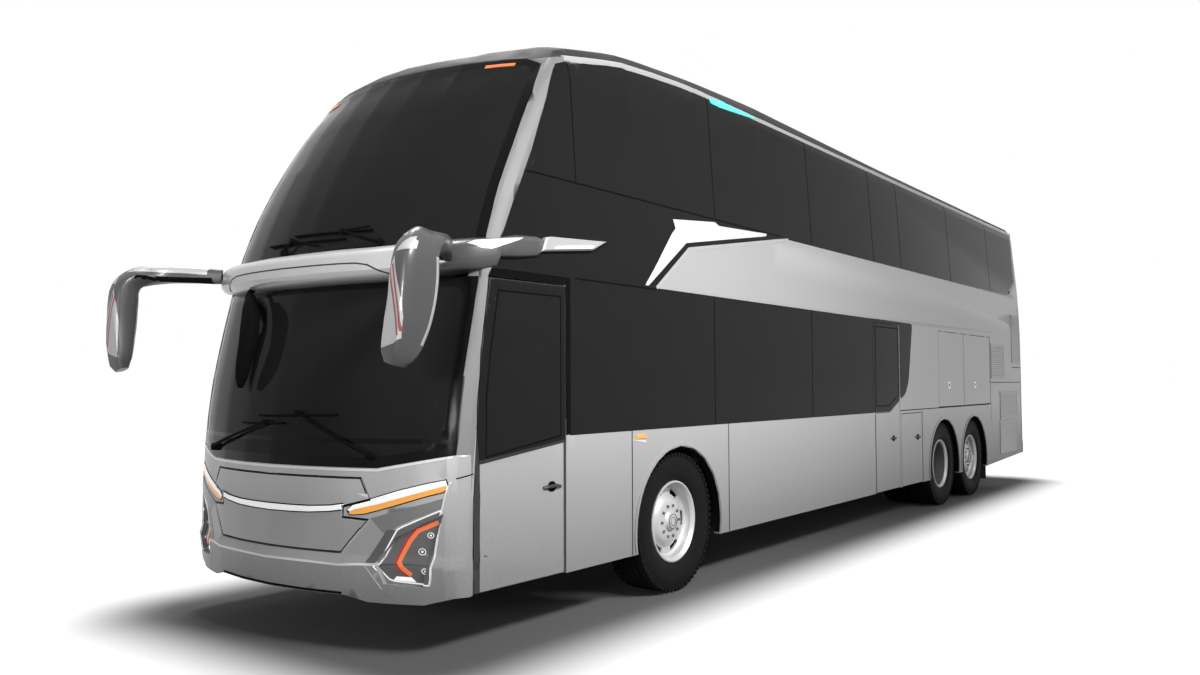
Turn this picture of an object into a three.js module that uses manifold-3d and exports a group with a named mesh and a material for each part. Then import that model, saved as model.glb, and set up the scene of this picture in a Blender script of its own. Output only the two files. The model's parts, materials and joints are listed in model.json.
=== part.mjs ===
// Double-decker coach: 6x2, monocoque body, every sub-part a named mesh.
// Millimetres, +X forward, +Y to the coach's left, +Z up, wheels on z = 0.
// The model is laid out from the front axle; the outer group moves it so that
// the middle of the overall box stands over the origin.
import * as THREE from "three";
import { mergeVertices } from "three/addons/utils/BufferGeometryUtils.js";
import Module from "manifold-3d";

const wasm = await Module();
wasm.setup();

// ---------------------------------------------------------------- dimensions
// Axles and overall length
const FRONT_AXLE_X = 0;
const WHEELBASE = 6420;
const TAG_SPACING = 1330;
const REAR_OVERHANG = 2850;
const DRIVE_AXLE_X = FRONT_AXLE_X - WHEELBASE;
const TAG_AXLE_X = DRIVE_AXLE_X - TAG_SPACING;
const REAR_X = TAG_AXLE_X - REAR_OVERHANG;
const MIRROR_FRONT_X = 2960;

// Wheels
const TYRE_R = 520;
const TYRE_WIDTH = 298;
const TYRE_BEAD_R = 288;
const WHEEL_SIDES = 16;
const TWIN_SPACING = 340;
const SPINDLE_R = 42;
const ARCH_R = TYRE_R + 80;
const ARCH_Z = TYRE_R - 30;
const ARCH_TOP_Z = ARCH_Z + ARCH_R;

// Body
const HALF_WIDTH = 1300;
const SKIRT_Z = 360;
const TAIL_SKIRT_RISE = 75;
const BELT_Z = ARCH_TOP_Z + 140;
const DECK_Z = 2250;
const UPPER_BELT_Z = 2890;
const UPPER_GLASS_TOP_Z = 3900;
const ROOF_SPLIT_RISE = 40;
const REAR_SPLIT_X = REAR_X + 200;
const WALL = 50;
const DOOR_POST = 40;
const MASK_X = 2262;
const GLASS = 8;
const SEAM = 0.4;
const PANEL_GAP = 8;
const HINGE_R = PANEL_GAP / 2 + 1;
const HINGE_LENGTH = 120;
const HINGE_Y = HALF_WIDTH - 3;
const LEAF = 40;
const FRAME_LAP = 45;
const PILLAR = 80;
const PILLAR_FACE = 30;
const TRACK_HALF = HALF_WIDTH - 190;
const KINGPIN_Y = TRACK_HALF - 210;
const INNER_Y = HALF_WIDTH - WALL - SEAM;
// Clear of the body on every side, for cutting through it
const FAR_Y = HALF_WIDTH + 200;
const FAR_FRONT_X = 3200;
const FAR_REAR_X = REAR_X - 300;
const FAR_Z = 4500;

// The tables of the front and rear are drawn for this half width and stretch with the body
const TABLE_HALF_WIDTH = 1300;
const wider = (y) => (y * HALF_WIDTH) / TABLE_HALF_WIDTH;
const widened = (rows) => rows.map(([y, z]) => [wider(y), z]);
const VISOR_ROOT_Y = wider(1180);

// Decks
const LOWER_FLOOR_Z = 450;
const FRONT_PLATFORM_Z = 860;
const FRONT_BULKHEAD_X = -760;
const REAR_BULKHEAD_X = DRIVE_AXLE_X + 820;
const BAY_FLOOR_Z = 2 * TYRE_R + 170;
const BAY_END_X = TAG_AXLE_X - 900;
const UPPER_FLOOR_Z = 2340;
const FLOOR = 60;
const RAIL_INNER_Y = 380;
const RAIL_OUTER_Y = 450;
const RAIL_Z = TYRE_R + 100;
const RAIL_HEIGHT = 220;
const PLATFORM_FRONT_X = 2150;
const WELL_Z = 2 * TYRE_R + 90;
const WELL_HALF = TYRE_R + 170;
const WELL_Y = TRACK_HALF - 550;
const WELL_WALL = 30;
const STEP_Y = HALF_WIDTH - 690;

// Doors and hatches on the sides: front and rear edge, foot and head
const FRONT_DOOR = { rear: 1400, front: 2250, foot: SKIRT_Z, head: 2200 };
const MID_DOOR = { rear: DRIVE_AXLE_X + 1630, front: DRIVE_AXLE_X + 2410, foot: SKIRT_Z, head: 2215 };
const SERVICE_HATCH = { rear: DRIVE_AXLE_X + 870, front: DRIVE_AXLE_X + 1590, foot: SKIRT_Z, head: BELT_Z - 30 };
const HATCH_Z = { foot: BAY_FLOOR_Z + 30, head: 2210 };
const LUGGAGE_HATCHES = [
  { name: "front", rear: DRIVE_AXLE_X - 880, front: DRIVE_AXLE_X + 190, ...HATCH_Z },
  { name: "rear", rear: TAG_AXLE_X - 840, front: TAG_AXLE_X + 430, ...HATCH_Z },
];
const ENGINE_DOOR = { half: wider(950), foot: 660, head: 1720 };
const REAR_WINDOW = { half: wider(900), foot: 2900, head: 3700 };

// Seats
const SEAT_PITCH = 860;
const SEAT_WIDTH = 900;
const SEAT_Y = HALF_WIDTH - 560;
const DRIVER_Y = 600 - HALF_WIDTH;

// ---------------------------------------------------------- curves as tables
// Side of the body in cross section: height, half width
const SIDE_LEAN = [
  [0, HALF_WIDTH],
  [2300, HALF_WIDTH],
  [2900, HALF_WIDTH - 15],
  [4300, HALF_WIDTH - 110],
];
// Roof arch from the side inwards: share of the half width, drop below the crown, normal y, normal z
const ROOF_ARCH = [
  [0.975, 190, 0.95, 0.3],
  [0.925, 105, 0.6, 0.8],
  [0.8, 58, 0.25, 0.97],
  [0.5, 18, 0.08, 1],
  [0, 0, 0, 1],
];
const ROOF_SIDE_DROP = 300;
// Roof crown along the coach: x, height
const ROOF_LINE = [
  [REAR_X - 200, 4110],
  [-4400, 4120],
  [-1500, 4150],
  [-400, 4120],
  [600, 4060],
  [1200, 3940],
  [1550, 3840],
  [3300, 3700],
];
// Front and rear ends on the centre line: height, front x, rear x.
// Both bumpers stand out over the panels above them.
const ENDS = [
  [250, 2662, REAR_X],
  [530, 2706, REAR_X],
  [580, 2689, REAR_X],
  [640, 2688, REAR_X + 28],
  [940, 2685, REAR_X + 30],
  [1330, 2660, REAR_X + 32],
  [1610, 2620, REAR_X + 36],
  [1950, 2540, REAR_X + 45],
  [2190, 2480, REAR_X + 52],
  [2490, 2400, REAR_X + 62],
  [2780, 2280, REAR_X + 74],
  [3050, 2140, REAR_X + 90],
  [3380, 1940, REAR_X + 114],
  [3750, 1670, REAR_X + 150],
  [3850, 1560, REAR_X + 175],
  [3950, 1320, REAR_X + 210],
  [4050, 900, REAR_X + 290],
  [4200, 0, REAR_X + 500],
];
// Plan of a front corner: distance behind the nose, y, both at full width
const NOSE_PLAN = [
  [0, 0],
  [19, 300],
  [75, 600],
  [169, 900],
  [231, 1050],
  [305, 1200],
  [345, 1250],
  [400, 1285],
  [470, 1302],
  [900, 1345],
  [1500, 1400],
];
// Plan of a rear corner: distance ahead of the tail, y
const TAIL_PLAN = [
  [600, 1400],
  [150, 1304],
  [70, 1275],
  [25, 1225],
  [0, 1130],
  [0, 0],
];
// Upper edge of the side glass: x, z
const GLASS_TOP_LINE = [
  [REAR_X + 400, UPPER_GLASS_TOP_Z],
  [-300, UPPER_GLASS_TOP_Z],
  [630, 3840],
  [1300, 3715],
];
// Rear edge of the front pillar, seen from the side: x, z
const FRONT_PILLAR_LINE = [
  [1370, 3690],
  [1400, 3640],
  [1540, 3369],
  [1710, 3020],
  [1890, 2681],
  [2005, 2454],
  [2100, 2200],
];
// Lower edge of the bumper, seen from the front: y, z
const BUMPER_LIP = widened([
  [0, 392],
  [600, 345],
  [750, 312],
  [1080, 312],
  [1240, 356],
  [1400, SKIRT_Z],
]);
// Side edge of both windscreens: y, z from the foot up
const SCREEN_EDGE = widened([
  [1240, 1160],
  [1240, 1950],
  [1228, 2490],
  [1205, 3050],
  [1165, 3450],
  [1110, 3690],
]);
const SCREEN_HEAD = 3740;
const SCREEN_SHOULDER_Y = wider(1000);
const LOWER_SCREEN_FOOT = 1080;
const LOWER_SCREEN_FLAT_Y = wider(800);
const LOWER_SCREEN_HEAD = 2200;
const UPPER_SCREEN_FOOT = 2360;

// ------------------------------------------------------------------- helpers
// A closed geometry as a solid, with its faces turned outwards
function solid(geometry) {
  const bare = geometry.index ? geometry.toNonIndexed() : geometry.clone();
  const positions = new THREE.BufferGeometry();
  positions.setAttribute("position", bare.getAttribute("position"));
  const merged = mergeVertices(positions, 1e-3);
  const corners = merged.index.array;
  const kept = [];
  for (let i = 0; i < corners.length; i += 3) {
    const [a, b, c] = [corners[i], corners[i + 1], corners[i + 2]];
    if (a !== b && b !== c && c !== a) kept.push(a, b, c);
  }
  const build = (triangles) =>
    new wasm.Manifold(
      new wasm.Mesh({
        numProp: 3,
        vertProperties: merged.attributes.position.array,
        triVerts: new Uint32Array(triangles),
      }),
    );
  const made = build(kept);
  return made.volume() < 0 ? build(kept.reverse()) : made;
}

// A solid as a geometry that three.js can show, without the slivers that the cuts leave
const SLIVER = 0.1;
function geometryOf(made) {
  const mesh = made.simplify(SLIVER).getMesh();
  const geometry = new THREE.BufferGeometry();
  geometry.setAttribute("position", new THREE.BufferAttribute(mesh.vertProperties, 3));
  geometry.setIndex(new THREE.BufferAttribute(mesh.triVerts, 1));
  return geometry;
}

function block([x0, x1], [y0, y1], [z0, z1]) {
  const geometry = new THREE.BoxGeometry(x1 - x0, y1 - y0, z1 - z0);
  geometry.translate((x0 + x1) / 2, (y0 + y1) / 2, (z0 + z1) / 2);
  return solid(geometry);
}

function extruded(outline, depth) {
  const shape = new THREE.Shape(outline.map(([u, v]) => new THREE.Vector2(u, v)));
  return new THREE.ExtrudeGeometry(shape, { depth, bevelEnabled: false });
}

// Outline in x and z, carried from y0 to y1
function acrossY(outline, y0, y1) {
  const geometry = extruded(outline, y1 - y0);
  geometry.rotateX(Math.PI / 2);
  geometry.translate(0, y1, 0);
  return solid(geometry);
}

// Outline in y and z, carried from x0 to x1
function acrossX(outline, x0, x1) {
  const geometry = extruded(outline, x1 - x0);
  geometry.rotateX(Math.PI / 2);
  geometry.rotateZ(Math.PI / 2);
  geometry.translate(x0, 0, 0);
  return solid(geometry);
}

// Closed solid through rings of points that all have the same count
function loft(rings) {
  const count = rings[0].length;
  const points = rings.flat();
  const faces = [];
  for (let r = 0; r + 1 < rings.length; r += 1) {
    for (let k = 0; k < count; k += 1) {
      const a = r * count + k;
      const b = r * count + ((k + 1) % count);
      faces.push(a, b, b + count, a, b + count, a + count);
    }
  }
  const cap = (start, flip) => {
    for (let k = 1; k + 1 < count; k += 1) {
      faces.push(start, start + (flip ? k + 1 : k), start + (flip ? k : k + 1));
    }
  };
  cap(0, true);
  cap((rings.length - 1) * count, false);
  const geometry = new THREE.BufferGeometry();
  geometry.setAttribute("position", new THREE.Float32BufferAttribute(points.flat(), 3));
  geometry.setIndex(faces);
  return solid(geometry);
}

// Body of revolution about the y axis, from a profile of radius and y
function turned(profile, sides, facetDown = false) {
  const points = profile.map(([r, y]) => new THREE.Vector2(r, y));
  const start = facetDown ? Math.PI / sides : 0;
  return solid(new THREE.LatheGeometry(points, sides, start));
}

// Round bar between two points
function bar(from, to, radius, sides = 12) {
  const a = new THREE.Vector3(...from);
  const b = new THREE.Vector3(...to);
  const along = b.clone().sub(a);
  const geometry = new THREE.CylinderGeometry(radius, radius, along.length(), sides);
  const up = new THREE.Vector3(0, 1, 0);
  geometry.applyQuaternion(new THREE.Quaternion().setFromUnitVectors(up, along.normalize()));
  geometry.translate((a.x + b.x) / 2, (a.y + b.y) / 2, (a.z + b.z) / 2);
  return solid(geometry);
}

const joined = (parts) => parts.reduce((sum, part) => sum.add(part));
const mirrored = (outline) => outline.map(([y, z]) => [-y, z]).reverse();
// Both halves of a symmetric outline whose points run from the centre out and back
const bothSides = (half) => [...half, ...mirrored(half)];
const rectangle = ([u0, u1], [v0, v1]) => [
  [u0, v0],
  [u1, v0],
  [u1, v1],
  [u0, v1],
];

function lerpTable(rows, at, column = 1) {
  let k = 0;
  while (k + 2 < rows.length && at > rows[k + 1][0]) k += 1;
  const [low, high] = [rows[k], rows[k + 1]];
  const share = (at - low[0]) / (high[0] - low[0]);
  return low[column] + (high[column] - low[column]) * share;
}

// ------------------------------------------------------------- body envelope
// Sides and roof, pulled in by the inset, lofted along the coach
function sidesAndRoof(inset) {
  const ring = ([x, crown]) => {
    const shoulder = crown - ROOF_SIDE_DROP;
    const heights = [200, 2300, 2900, shoulder];
    const half = heights.map((z) => [lerpTable(SIDE_LEAN, z) - inset, z]);
    const wide = lerpTable(SIDE_LEAN, shoulder);
    for (const [share, drop, ny, nz] of ROOF_ARCH) {
      half.push([wide * share - inset * ny, crown - drop - inset * nz]);
    }
    const outline = [...half, ...mirrored(half).slice(1)];
    return outline.map(([y, z]) => [x, y, z]);
  };
  return loft(ROOF_LINE.map(ring));
}

// Nose and tail, pulled in by the inset, lofted upwards through plan outlines
function noseAndTail(inset) {
  const ring = ([z, nose, tail]) => {
    const wide = lerpTable(SIDE_LEAN, z) / HALF_WIDTH;
    const half = [
      ...NOSE_PLAN.map(([back, y]) => [nose - back, wider(y) * wide]),
      ...TAIL_PLAN.map(([ahead, y]) => [tail + ahead, wider(y) * wide]),
    ];
    const moved = half.map((point, k) => {
      const before = half[Math.max(k - 1, 0)];
      const after = half[Math.min(k + 1, half.length - 1)];
      const edge = new THREE.Vector2(after[0] - before[0], after[1] - before[1]).normalize();
      return [point[0] - edge.y * inset, k === 0 || k === half.length - 1 ? 0 : point[1] + edge.x * inset];
    });
    const outline = [...moved, ...moved.slice(1, -1).map(([x, y]) => [x, -y]).reverse()];
    return outline.map(([x, y]) => [x, y, z]);
  };
  return loft(ENDS.map(ring));
}

const envelopes = new Map();
function envelope(inset) {
  if (!envelopes.has(inset)) {
    envelopes.set(inset, sidesAndRoof(inset).intersect(noseAndTail(inset)));
  }
  return envelopes.get(inset);
}
// Skin of the body between two depths
const skin = (outer, inner) => envelope(outer).subtract(envelope(inner));
const OUTSIDE = -60;

// ------------------------------------------------------------------ outlines
// An outline moved inwards by a distance, corner by corner
function inset(outline, by) {
  const points = outline.map(([u, v]) => new THREE.Vector2(u, v));
  const inwards = THREE.ShapeUtils.area(points) > 0 ? 1 : -1;
  const count = points.length;
  return points.map((point, k) => {
    const before = point.clone().sub(points[(k + count - 1) % count]).normalize();
    const after = points[(k + 1) % count].clone().sub(point).normalize();
    const bisector = new THREE.Vector2(-(before.y + after.y), before.x + after.x).normalize();
    const normal = new THREE.Vector2(-before.y, before.x);
    const reach = (inwards * by) / Math.max(bisector.dot(normal), 0.3);
    return [point.x + bisector.x * reach, point.y + bisector.y * reach];
  });
}

const frame = ({ rear, front, foot, head }) => rectangle([rear, front], [foot, head]);

// The front door follows the front pillar, so its front edge leans back
const FRONT_DOOR_OUTLINE = [
  [FRONT_DOOR.rear, FRONT_DOOR.foot],
  [FRONT_DOOR.front, FRONT_DOOR.foot],
  [FRONT_DOOR.front, 900],
  [2216, 1473],
  [2183, 1762],
  [2100, FRONT_DOOR.head],
  [FRONT_DOOR.rear, FRONT_DOOR.head],
];

// Dark glazing of one side, around the front door where there is one
function sideGlassOutline(hasDoors) {
  const foot = hasDoors
    ? [
        [FRONT_DOOR.front - 170, DECK_Z],
        [FRONT_DOOR.rear - DOOR_POST, DECK_Z],
        [FRONT_DOOR.rear - DOOR_POST, BELT_Z],
        [MID_DOOR.front + DOOR_POST, BELT_Z],
        [MID_DOOR.front + DOOR_POST, DECK_Z],
      ]
    : [
        [2100, 2200],
        [2175, 1762],
        [2205, 1473],
        [2215, BELT_Z],
        [DRIVE_AXLE_X + 1960, BELT_Z],
        [DRIVE_AXLE_X + 1420, BELT_Z + 210],
        [DRIVE_AXLE_X + 1160, DECK_Z],
      ];
  return [
    ...foot,
    [300, DECK_Z + 10],
    [-160, 2600],
    [-1870, UPPER_BELT_Z - 15],
    [REAR_X + 880, UPPER_BELT_Z],
    [REAR_X + 400, 3150],
    ...GLASS_TOP_LINE,
    ...FRONT_PILLAR_LINE.slice(0, -1),
  ];
}

// Joints between the panes of one side, from the front backwards
const LOWER_SEAMS = [FRONT_DOOR.rear - DOOR_POST, -530, -2400];
const UPPER_SEAMS = [1270, -580, -2460, -4090, -4970, -6860, -8770];

// Clear openings behind the glazing: rear edge, front edge, foot, head
function windowOpenings(hasDoors) {
  const row = (seams, end, foot, head) => {
    const kept = [...seams.filter((x) => x > end + 2 * PILLAR), end];
    return kept.slice(1).map((rear, k) => ({ rear, front: kept[k], foot, head }));
  };
  const lowerEnd = hasDoors ? MID_DOOR.front + DOOR_POST : DRIVE_AXLE_X + 1960;
  const lowerSeams = hasDoors ? LOWER_SEAMS : [2130, ...LOWER_SEAMS];
  return [
    ...row(lowerSeams, lowerEnd, BELT_Z, DECK_Z),
    ...row(UPPER_SEAMS, REAR_X + 640, UPPER_BELT_Z, UPPER_GLASS_TOP_Z - 50),
  ];
}

const screenEdge = (from, to) => SCREEN_EDGE.filter(([, z]) => z > from && z < to);
const edgeAt = (z) => lerpTable(SCREEN_EDGE.map(([y, height]) => [height, y]), z);

const LOWER_SCREEN = bothSides([
  [LOWER_SCREEN_FLAT_Y, LOWER_SCREEN_FOOT],
  SCREEN_EDGE[0],
  SCREEN_EDGE[1],
  [edgeAt(LOWER_SCREEN_HEAD), LOWER_SCREEN_HEAD],
]);

const UPPER_SCREEN = bothSides([
  [edgeAt(UPPER_SCREEN_FOOT), UPPER_SCREEN_FOOT],
  ...screenEdge(UPPER_SCREEN_FOOT, SCREEN_HEAD),
  [SCREEN_SHOULDER_Y, SCREEN_HEAD],
]);
const NOSE = [900, FAR_FRONT_X];
const MASK_END = [MASK_X + 20, FAR_FRONT_X];

// Cuts a flush glass seat, and the clear opening inside it, in a piece of skin
function seatScreens(piece) {
  const seat = skin(OUTSIDE, GLASS + SEAM);
  let cut = piece;
  for (const outline of [LOWER_SCREEN, UPPER_SCREEN]) {
    cut = cut.subtract(seat.intersect(acrossX(outline, ...NOSE)));
    cut = cut.subtract(acrossX(inset(outline, FRAME_LAP), ...NOSE));
  }
  return cut;
}

const screen = (outline) => skin(0, GLASS).intersect(acrossX(inset(outline, SEAM), ...NOSE));

// ---------------------------------------------------------------- body sides
// Seam between the side walls and the roof: x, z
const ROOF_SEAM = [
  [REAR_SPLIT_X, UPPER_GLASS_TOP_Z + ROOF_SPLIT_RISE],
  [-300, UPPER_GLASS_TOP_Z + ROOF_SPLIT_RISE],
  [630, 3840 + ROOF_SPLIT_RISE],
  [1400, SCREEN_HEAD],
  [FAR_FRONT_X, SCREEN_HEAD],
];

// Which of the two sides of the coach: +1 left, -1 right
const SIDES = [
  { side: "left", way: 1, hasDoors: true },
  { side: "right", way: -1, hasDoors: false },
];

// A y range of the left side, or its mirror image on the right
const sideOf = (way, y0, y1) => (way > 0 ? [y0, y1] : [-y1, -y0]);

// y range of a side, from inside the wall outwards
const sideRange = (way) => sideOf(way, HALF_WIDTH - 400, FAR_Y);

// Room that the windscreens and the pillars beside them take, seen from the front
function screenRoom(grow = 0) {
  const around = (outline) => acrossX(inset(outline, -PILLAR_FACE - grow), ...NOSE);
  return joined([LOWER_SCREEN, UPPER_SCREEN].map(around));
}

// The part of a skin that lies on one side, within an outline
const onSide = (piece, outline, way) => piece.intersect(acrossY(outline, ...sideRange(way)));
const cutSide = (piece, outline, way) => piece.subtract(acrossY(outline, ...sideRange(way)));

// Wheel arches through both sides. The two at the rear run into one where they are wide enough to meet.
function wheelArches() {
  const at = [FRONT_AXLE_X, DRIVE_AXLE_X, TAG_AXLE_X];
  const arches = at.map((x) => bar([x, -FAR_Y, ARCH_Z], [x, FAR_Y, ARCH_Z], ARCH_R, 20));
  if (2 * ARCH_R > TAG_SPACING) arches.push(block([TAG_AXLE_X, DRIVE_AXLE_X], [-FAR_Y, FAR_Y], [0, ARCH_Z]));
  return joined(arches);
}

function sideWall({ way, hasDoors }) {
  const outline = [
    [REAR_SPLIT_X + SEAM, SKIRT_Z + TAIL_SKIRT_RISE],
    [TAG_AXLE_X - ARCH_R, SKIRT_Z],
    [MASK_X, SKIRT_Z],
    [MASK_X, SCREEN_EDGE[0][1] + SEAM],
    [FAR_FRONT_X, SCREEN_EDGE[0][1] + SEAM],
    [FAR_FRONT_X, SCREEN_HEAD - SEAM],
    ...ROOF_SEAM.slice(1, -1).map(([x, z]) => [x, z - SEAM]).reverse(),
    [REAR_SPLIT_X + SEAM, ROOF_SEAM[0][1] - SEAM],
  ];
  let wall = onSide(skin(0, WALL), outline, way).subtract(wheelArches());
  const seat = onSide(skin(OUTSIDE, GLASS + SEAM), sideGlassOutline(hasDoors), way);
  wall = wall.subtract(seat.subtract(screenRoom()));
  for (const opening of windowOpenings(hasDoors)) {
    wall = cutSide(wall, inset(frame(opening), PILLAR / 2), way);
  }
  const panels = [frame(SERVICE_HATCH), ...LUGGAGE_HATCHES.map(frame)];
  if (hasDoors) panels.push(FRONT_DOOR_OUTLINE, frame(MID_DOOR));
  for (const panel of panels) wall = cutSide(wall, panel, way);
  return seatScreens(wall).subtract(visorRoom(SEAM));
}

function sideGlass({ way, hasDoors }) {
  const pane = onSide(skin(0, GLASS), inset(sideGlassOutline(hasDoors), SEAM), way);
  return pane.subtract(screenRoom(SEAM));
}

// Hinge barrels on a leaf, in the gap beside the edge that it turns on
function sideHinges(x, z0, z1, way) {
  const at = [x - SEAM - HINGE_R, way * HINGE_Y];
  return [z0, z1].map((z) => bar([...at, z - HINGE_LENGTH / 2], [...at, z + HINGE_LENGTH / 2], HINGE_R, 8));
}

function headHinges(z, x0, x1, way) {
  const at = [way * HINGE_Y, z - SEAM - HINGE_R];
  return [x0, x1].map((x) => bar([x - HINGE_LENGTH / 2, ...at], [x + HINGE_LENGTH / 2, ...at], HINGE_R, 8));
}

// A door or hatch leaf, cut from the body's own skin with the panel gap all round
const leaf = (outline, way) => onSide(skin(0, LEAF), inset(outline, PANEL_GAP), way);

const serviceHatch = (way) =>
  joined([
    leaf(frame(SERVICE_HATCH), way),
    ...sideHinges(SERVICE_HATCH.front, SERVICE_HATCH.foot + 150, SERVICE_HATCH.head - 150, way),
  ]);

const luggageHatch = (hatch, way) =>
  joined([leaf(frame(hatch), way), ...headHinges(hatch.head, hatch.rear + 200, hatch.front - 200, way)]);

// A door with a flush pane above its waist
function glazedDoor(outline, pane, hinges, way) {
  const seat = onSide(skin(OUTSIDE, GLASS + SEAM), pane, way);
  const door = leaf(outline, way).subtract(seat);
  return {
    door: joined([cutSide(door, inset(pane, FRAME_LAP), way), ...hinges]),
    pane: onSide(skin(0, GLASS), inset(pane, SEAM), way),
  };
}

// ---------------------------------------------------------------- roof, tail
const TAIL = [FAR_REAR_X, REAR_X + 300];
const ENGINE_DOOR_OUTLINE = rectangle(
  [-ENGINE_DOOR.half, ENGINE_DOOR.half],
  [ENGINE_DOOR.foot, ENGINE_DOOR.head],
);
const REAR_WINDOW_OUTLINE = rectangle(
  [-REAR_WINDOW.half, REAR_WINDOW.half],
  [REAR_WINDOW.foot, REAR_WINDOW.head],
);

function roof() {
  const outline = [
    [REAR_SPLIT_X + SEAM, ROOF_SEAM[0][1]],
    ...ROOF_SEAM.slice(1),
    [FAR_FRONT_X, FAR_Z],
    [REAR_SPLIT_X + SEAM, FAR_Z],
  ];
  return seatScreens(skin(0, WALL).intersect(acrossY(outline, -FAR_Y, FAR_Y)));
}

function rearWall() {
  const outline = [
    [FAR_REAR_X, SKIRT_Z + TAIL_SKIRT_RISE + 15],
    [REAR_SPLIT_X, SKIRT_Z + TAIL_SKIRT_RISE],
    [REAR_SPLIT_X, FAR_Z],
    [FAR_REAR_X, FAR_Z],
  ];
  let wall = skin(0, WALL).intersect(acrossY(outline, -FAR_Y, FAR_Y));
  wall = wall.subtract(skin(OUTSIDE, GLASS + SEAM).intersect(acrossX(REAR_WINDOW_OUTLINE, ...TAIL)));
  wall = wall.subtract(acrossX(inset(REAR_WINDOW_OUTLINE, FRAME_LAP), ...TAIL));
  return wall.subtract(acrossX(ENGINE_DOOR_OUTLINE, ...TAIL));
}

function engineDoor() {
  const door = skin(0, LEAF).intersect(acrossX(inset(ENGINE_DOOR_OUTLINE, PANEL_GAP), ...TAIL));
  const z = ENGINE_DOOR.head - SEAM - HINGE_R;
  const x = lerpTable(ENDS, z, 2);
  const barrels = [1, -1].map((way) => {
    const y = way * (ENGINE_DOOR.half - 200);
    return bar([x, y - HINGE_LENGTH / 2, z], [x, y + HINGE_LENGTH / 2, z], HINGE_R, 8);
  });
  return joined([door, ...barrels]);
}

function rearWindow() {
  return skin(0, GLASS).intersect(acrossX(inset(REAR_WINDOW_OUTLINE, SEAM), ...TAIL));
}

// --------------------------------------------------------------------- front
// Upper lamp strip, seen from the front: y, z
const LAMP_STRIP = widened([
  [600, 800],
  [760, 790],
  [1222, 925],
  [1222, 1012],
  [600, 850],
]);
// Lower lamp cluster, seen from the front: y, z
const LAMP_CLUSTER = widened([
  [815, 545],
  [860, 425],
  [1085, 415],
  [1190, 830],
  [930, 690],
]);
// Service flap between the lamps, half of it, seen from the front: y, z
const FLAP_HALF = widened([
  [588, 584],
  [775, 800],
  [775, 900],
  [707, 1028],
]);
const FLAP_THICK = 12;
const LAMP_GAP = 14;

function frontMask() {
  const half = [
    ...BUMPER_LIP.slice(1),
    [wider(1400), SCREEN_EDGE[0][1]],
    SCREEN_EDGE[0],
    [LOWER_SCREEN_FLAT_Y, LOWER_SCREEN_FOOT],
  ];
  const region = acrossX(bothSides(half), MASK_X + SEAM, FAR_FRONT_X);
  let mask = skin(0, WALL).intersect(region);
  mask = mask.subtract(acrossX(bothSides(FLAP_HALF), ...NOSE));
  for (const way of [1, -1]) {
    for (const lamp of [LAMP_STRIP, LAMP_CLUSTER]) {
      mask = mask.subtract(acrossX(facing(lamp, way), ...NOSE));
    }
  }
  return seatScreens(mask);
}

const facing = (outline, way) => (way > 0 ? outline : mirrored(outline));

function frontFlap() {
  let flap = skin(0, FLAP_THICK).intersect(acrossX(inset(bothSides(FLAP_HALF), PANEL_GAP), ...MASK_END));
  for (const way of [1, -1]) {
    flap = flap.subtract(acrossX(inset(facing(LAMP_STRIP, way), -LAMP_GAP), ...NOSE));
  }
  const z = FLAP_HALF[FLAP_HALF.length - 1][1] - SEAM - HINGE_R;
  const x = lerpTable(ENDS, z) - 1;
  return flap.add(bar([x, -50, z], [x, 50, z], HINGE_R, 8));
}

// Strip and cluster of one side, on one housing behind the mask
function headlamp(way) {
  const strip = skin(2, WALL + 30).intersect(acrossX(inset(facing(LAMP_STRIP, way), SEAM), ...MASK_END));
  const cluster = skin(25, WALL + 30).intersect(acrossX(inset(facing(LAMP_CLUSTER, way), SEAM), ...MASK_END));
  const back = widened([
    [850, 600],
    [1150, 600],
    [1150, 900],
    [850, 860],
  ]);
  const housing = skin(WALL + SEAM, WALL + 30).intersect(acrossX(facing(back, way), ...MASK_END));
  return joined([strip, cluster, housing]);
}

// Cross member between the windscreens that carries the visor
const visorRoom = (grow = 0) =>
  block(
    [1500, FAR_FRONT_X],
    [-VISOR_ROOT_Y - grow, VISOR_ROOT_Y + grow],
    [LOWER_SCREEN_HEAD + SEAM - grow, UPPER_SCREEN_FOOT - SEAM + grow],
  );
const visorRoot = () => skin(-20, WALL).intersect(visorRoom());

// Visor between the windscreens, swept back along the sides as blades
function visor(grow = 0) {
  const reach = [
    [2165, 30],
    [2200, 100],
    [2330, 150],
    [2385, 130],
    [2410, 60],
  ];
  const ring = ([z, proud]) => {
    const nose = lerpTable(ENDS, z) + proud + grow;
    const front = NOSE_PLAN.slice(0, 7).map(([back, y]) => [nose - back, wider(y) + (y > 0 ? grow : 0)]);
    const side = HALF_WIDTH + 35 + grow;
    const half = [...front, [nose - 420, side], [nose - 700, side], [nose - 700, 0]];
    const height = z === reach[0][0] ? z - grow : z === reach[4][0] ? z + grow : z;
    const outline = [...half, ...half.slice(1, -1).map(([x, y]) => [x, -y]).reverse()];
    return outline.map(([x, y]) => [x, y, height]);
  };
  const sill = [
    [3000, 2100],
    [3000, 2500],
    [1750, 2500],
    [1750, 2345],
    [2077, 2310],
    [2331, 2256],
    [2440, 2120],
  ];
  const band = loft(reach.map(ring)).intersect(acrossY(sill, -FAR_Y, FAR_Y));
  const blade = [
    [2240, 2262 - grow],
    [2077, 2310],
    [1630, 2349],
    [1022, 2505],
    [1100, 2512],
    [2077, 2441 + grow],
    [2240, 2420 + grow],
  ];
  const blades = [1, -1].map((way) => {
    const slab = acrossY(blade, ...sideOf(way, HALF_WIDTH - 4, HALF_WIDTH + 40 + grow));
    return slab.subtract(envelope(-SEAM));
  });
  return joined([band.subtract(envelope(-SEAM)), visorRoot(), ...blades]);
}

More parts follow.
